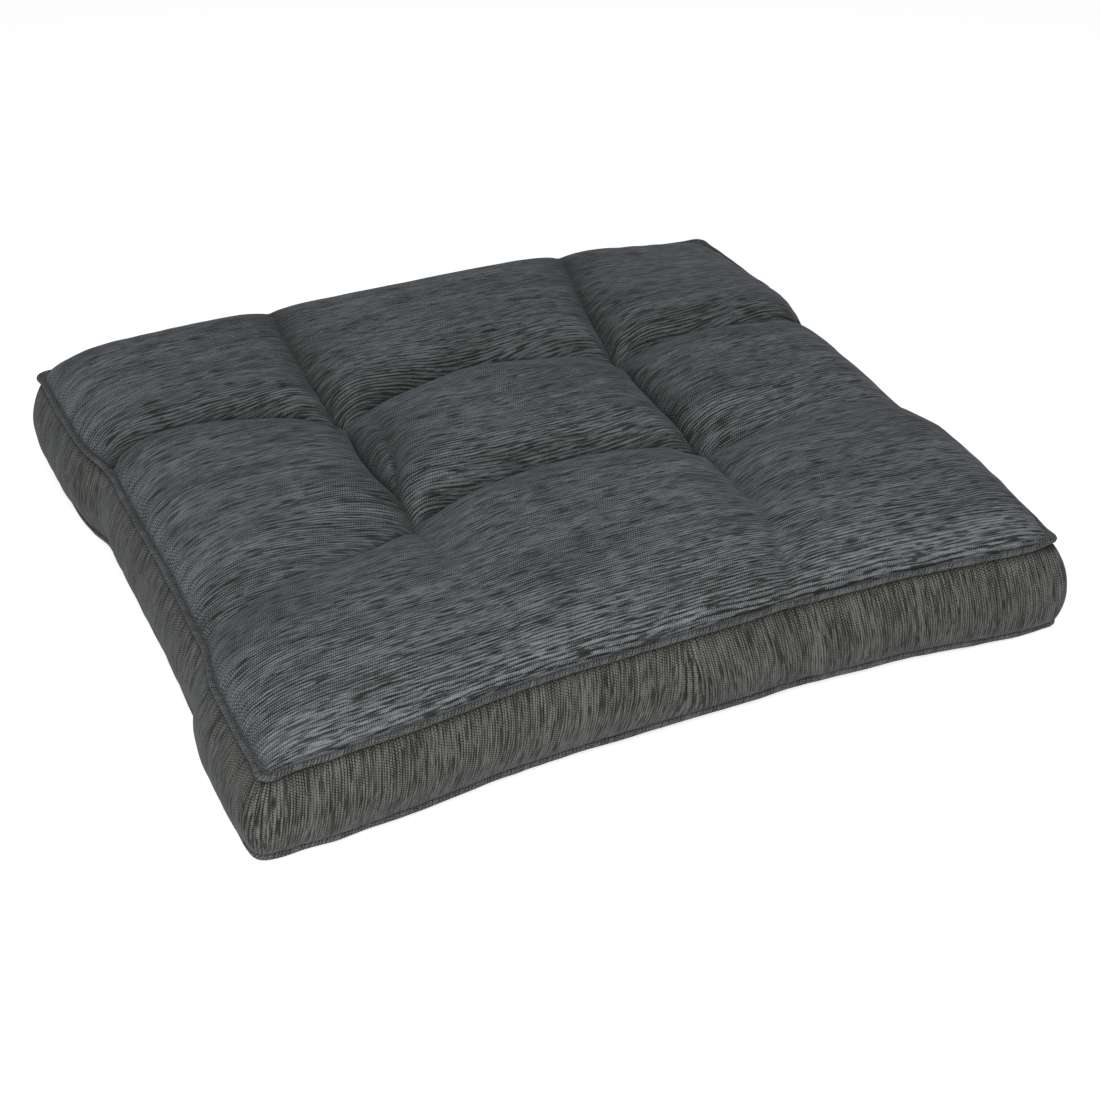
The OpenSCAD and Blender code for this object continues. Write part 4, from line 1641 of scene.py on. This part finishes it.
@dataclass
class HandStitching:
    """Stitches sewn last: the band's joint, and the slip stitches that close the filling gap."""

    form: CushionForm
    band: FinePart
    seam: SeamLine
    thread: float = 0.8 * MM
    slip: float = 7 * MM
    gap: float = 220 * MM
    joint_stitch: float = 3.4 * MM

    def joint_thread(self, material: bpy.types.Material) -> bpy.types.Object:
        """Make the thread of the band's joint: up the middle of the back, in and out of the cloth."""
        middle = (np.abs(self.band.points[:, 0]) < 4 * MM) & (self.band.points[:, 1] > 0)
        column = self.band.points[middle]
        column = column[np.argsort(column[:, 2])]
        z = np.linspace(column[0, 2] + 3 * MM, column[-1, 2] - 3 * MM, 120)
        y = np.interp(z, column[:, 2], column[:, 1])
        in_out = 0.9 * MM * np.sin(np.pi * (z - z[0]) / self.joint_stitch)
        path = np.stack([np.full(len(z), 0.0), y - 1.6 * MM + in_out, z], -1)
        side, rise = path_frame(path, np.array([0.0, 1.0, 0.0]), closed=False)
        mesh = sweep("band_joint_thread", path, side, rise, circle(self.thread, 6), False)
        return new_piece(mesh, material, "sewing_thread", "band_joint_thread")

    def closing(self, material: bpy.types.Material) -> bpy.types.Object:
        """Make the slip stitches: slanting bars over the seam between the band and the piping."""
        mine = (np.abs(self.seam.points[:, 0]) < self.gap / 2) & (self.seam.points[:, 1] > 0)
        base = self.seam.points[mine]
        outward = self.seam.outward[mine]
        count = int(self.gap / self.slip * 12)
        run = run_lengths(base)
        place = np.linspace(0, run[-1], count)
        along = at_lengths(place, run, base)
        out = at_lengths(place, run, outward)
        phase = np.pi * place / self.slip
        height = 1.9 * MM + 1.7 * MM * np.sin(2 * phase)
        depth = 0.9 * MM + 0.5 * MM * np.cos(4 * phase)
        path = along + out * depth[:, None] + np.array([0, 0, 1.0]) * height[:, None]
        side, rise = path_frame(path, np.array([0.0, 1.0, 0.0]), closed=False)
        mesh = sweep("closing_stitches", path, side, rise, circle(self.thread, 6), False)
        return new_piece(mesh, material, "sewing_thread", "closing_stitches")


# ---- The studio ----------------------------------------------------------------------------------


@dataclass(frozen=True)
class SoftLight:
    """A large square lamp that faces the cushion."""

    name: str
    place: tuple[float, float, float]
    size: float
    watts: float

    def build(self) -> None:
        """Hang the lamp, facing the cushion."""
        lamp = bpy.data.lights.new(self.name, "AREA")
        lamp.size = self.size
        lamp.energy = self.watts
        light = bpy.data.objects.new(self.name, lamp)
        light.location = self.place
        light.rotation_euler = Vector(self.place).to_track_quat("Z", "Y").to_euler()
        bpy.context.scene.collection.objects.link(light)


@dataclass
class Studio:
    """Pale floor, pale surroundings, soft lamps and the camera."""

    azimuth: float = -24.93
    elevation: float = 33.74
    distance: float = 1.694
    target: tuple[float, float, float] = (-0.0123, -0.0797, 0.0407)
    lens: float = 73.8
    sensor: float = 36.0
    surround: float = 0.23
    backdrop: float = 1.0
    floor_glow: float = 0.63
    floor_size: float = 12.0
    lamps: tuple[SoftLight, ...] = (
        SoftLight("front_key", (-0.95, -2.0, 1.75), 1.5, 53.0),
    )

    def build(self) -> None:
        """Set up the floor, the lamps and the camera."""
        self.floor()
        world = bpy.data.worlds.new("studio")
        world.use_nodes = True
        sky = world.node_tree.nodes["Background"]
        sky.inputs["Color"].default_value = (1, 1, 1, 1)
        self.brighter_to_camera(world.node_tree, sky.inputs["Strength"], self.surround, self.backdrop)
        scene = bpy.context.scene
        scene.world = world
        scene.view_settings.view_transform = "Standard"
        for lamp in self.lamps:
            lamp.build()
        self.camera()

    def floor(self) -> None:
        """Lay the pale floor."""
        half = self.floor_size / 2
        mesh = bpy.data.meshes.new("studio_floor")
        corners = [(-half, -half, 0), (half, -half, 0), (half, half, 0), (-half, half, 0)]
        mesh.from_pydata(corners, [], [(0, 1, 2, 3)])
        floor = bpy.data.objects.new("studio_floor", mesh)
        bpy.context.scene.collection.objects.link(floor)
        material = bpy.data.materials.new("pale_floor")
        material.use_nodes = True
        shader = material.node_tree.nodes["Principled BSDF"]
        shader.inputs["Base Color"].default_value = (0.93, 0.93, 0.93, 1)
        shader.inputs["Roughness"].default_value = 0.9
        shader.inputs["Emission Color"].default_value = (1, 1, 1, 1)
        self.brighter_to_camera(material.node_tree, shader.inputs["Emission Strength"], 0.0, self.floor_glow)
        mesh.materials.append(material)

    def brighter_to_camera(
        self, tree: bpy.types.NodeTree, socket: bpy.types.NodeSocket, lighting: float, seen: float
    ) -> None:
        """Give a strength one value where it lights the cushion and another where it is seen itself.

        Args:
            tree: The node tree of the world or the floor.
            socket: The strength's socket.
            lighting: Strength for light that reaches the cushion.
            seen: Strength that the view shows.
        """
        desk = NodeDesk(tree)
        direct = desk.add("ShaderNodeLightPath").outputs["Is Camera Ray"]
        tree.links.new(desk.math("ADD", lighting, desk.math("MULTIPLY", direct, seen - lighting)), socket)

    def camera(self) -> None:
        """Place the camera on its line of sight."""
        turn, rise = math.radians(self.azimuth), math.radians(self.elevation)
        back = Vector((math.sin(turn) * math.cos(rise), -math.cos(turn) * math.cos(rise), math.sin(rise)))
        lens = bpy.data.cameras.new("camera")
        lens.lens = self.lens
        lens.sensor_width = self.sensor
        camera = bpy.data.objects.new("camera", lens)
        camera.location = Vector(self.target) + back * self.distance
        camera.rotation_euler = back.to_track_quat("Z", "Y").to_euler()
        bpy.context.scene.collection.objects.link(camera)
        bpy.context.scene.camera = camera


# ---- The making ----------------------------------------------------------------------------------


PANEL_WEAVE = WovenFinish(
    "panel_weave", pale=(0.262, 0.282, 0.310), middle=(0.150, 0.163, 0.168), dark=(0.012, 0.013, 0.008),
    line_share=0.85, pit_share=0.95, thread=Thread.ALONG_U, yarns_per_metre=440.0, stitches_per_metre=640.0,
)
BAND_WEAVE = WovenFinish(
    "band_weave", pale=(0.196, 0.202, 0.192), middle=(0.125, 0.128, 0.112), dark=(0.011, 0.012, 0.006),
    line_share=0.85, pit_share=0.95, thread=Thread.ALONG_V,
)
PIPING_WEAVE = WovenFinish(
    "piping_weave", pale=(0.170, 0.180, 0.184), middle=(0.110, 0.115, 0.112), dark=(0.013, 0.014, 0.008),
    line_share=0.2, pit_share=0.95, thread=Thread.ALONG_U, slant=1.0,
)
SEWING_THREAD = StrandFinish("sewing_thread", (0.055, 0.060, 0.062), 900.0, 0.55)
TUFTING_TWINE = StrandFinish("tufting_twine", (0.045, 0.050, 0.052), 420.0)
FILLER_CORD = StrandFinish("filler_cord", (0.72, 0.70, 0.64), 300.0, 0.8)
FIBRE = FibreFinish("polyester_fibre", (0.86, 0.86, 0.84))


def main() -> None:
    """Make the cushion piece by piece, then the studio round it."""
    form = CushionForm.from_frame()
    cover = StuffedCover(form)
    settled = cover.settle()
    parts = refine(cover, settled)
    weave = slub_weave_group()
    panel_cloth, band_cloth, piping_cloth = (f.build(weave) for f in (PANEL_WEAVE, BAND_WEAVE, PIPING_WEAVE))
    thread, twine, cord = (f.build() for f in (SEWING_THREAD, TUFTING_TWINE, FILLER_CORD))
    panels = CoverMaking(form, parts).panels()
    for panel, cloth in ((Panel.TOP, panel_cloth), (Panel.BOTTOM, panel_cloth), (Panel.BAND, band_cloth)):
        panels[panel].build(cloth)
    top_part, under_part = parts[Panel.TOP], parts[Panel.BOTTOM]
    top_line = SeamLine.along(top_part.points[rim_of(top_part)])
    under_line = SeamLine.along(under_part.points[rim_of(under_part)[::-1]])
    loops = tuple(
        (side * form.corner_x, end * form.corner_y, further, higher)
        for side, end, further, higher in TOP_CORNER_LOOPS
    )
    top_seam = PipedSeam("top_piping", top_line, TOP_PIPING_LEAN, loops=loops)
    under_seam = PipedSeam("bottom_piping", under_line, BOTTOM_PIPING_LEAN)
    for seam, node in ((top_seam, "top_seam_thread"), (under_seam, "bottom_seam_thread")):
        seam.sleeve(piping_cloth)
        seam.filler(cord)
        seam.stitches(node, thread)
    sewing = HandStitching(form, parts[Panel.BAND], under_line)
    sewing.joint_thread(thread)
    sewing.closing(thread)
    Stuffing(cover).build(settled, FIBRE.build())
    for name, spot in form.tufts.items():
        top_z = panels[Panel.TOP].height_at(spot)
        under_z = panels[Panel.BOTTOM].height_at(spot)
        TuftTie("tuft_tie_" + name, spot, top_z, under_z).build(twine)
    Studio().build()


if __name__ == "__main__":
    logging.basicConfig(level=logging.INFO, format="%(name)s: %(message)s")
    main()
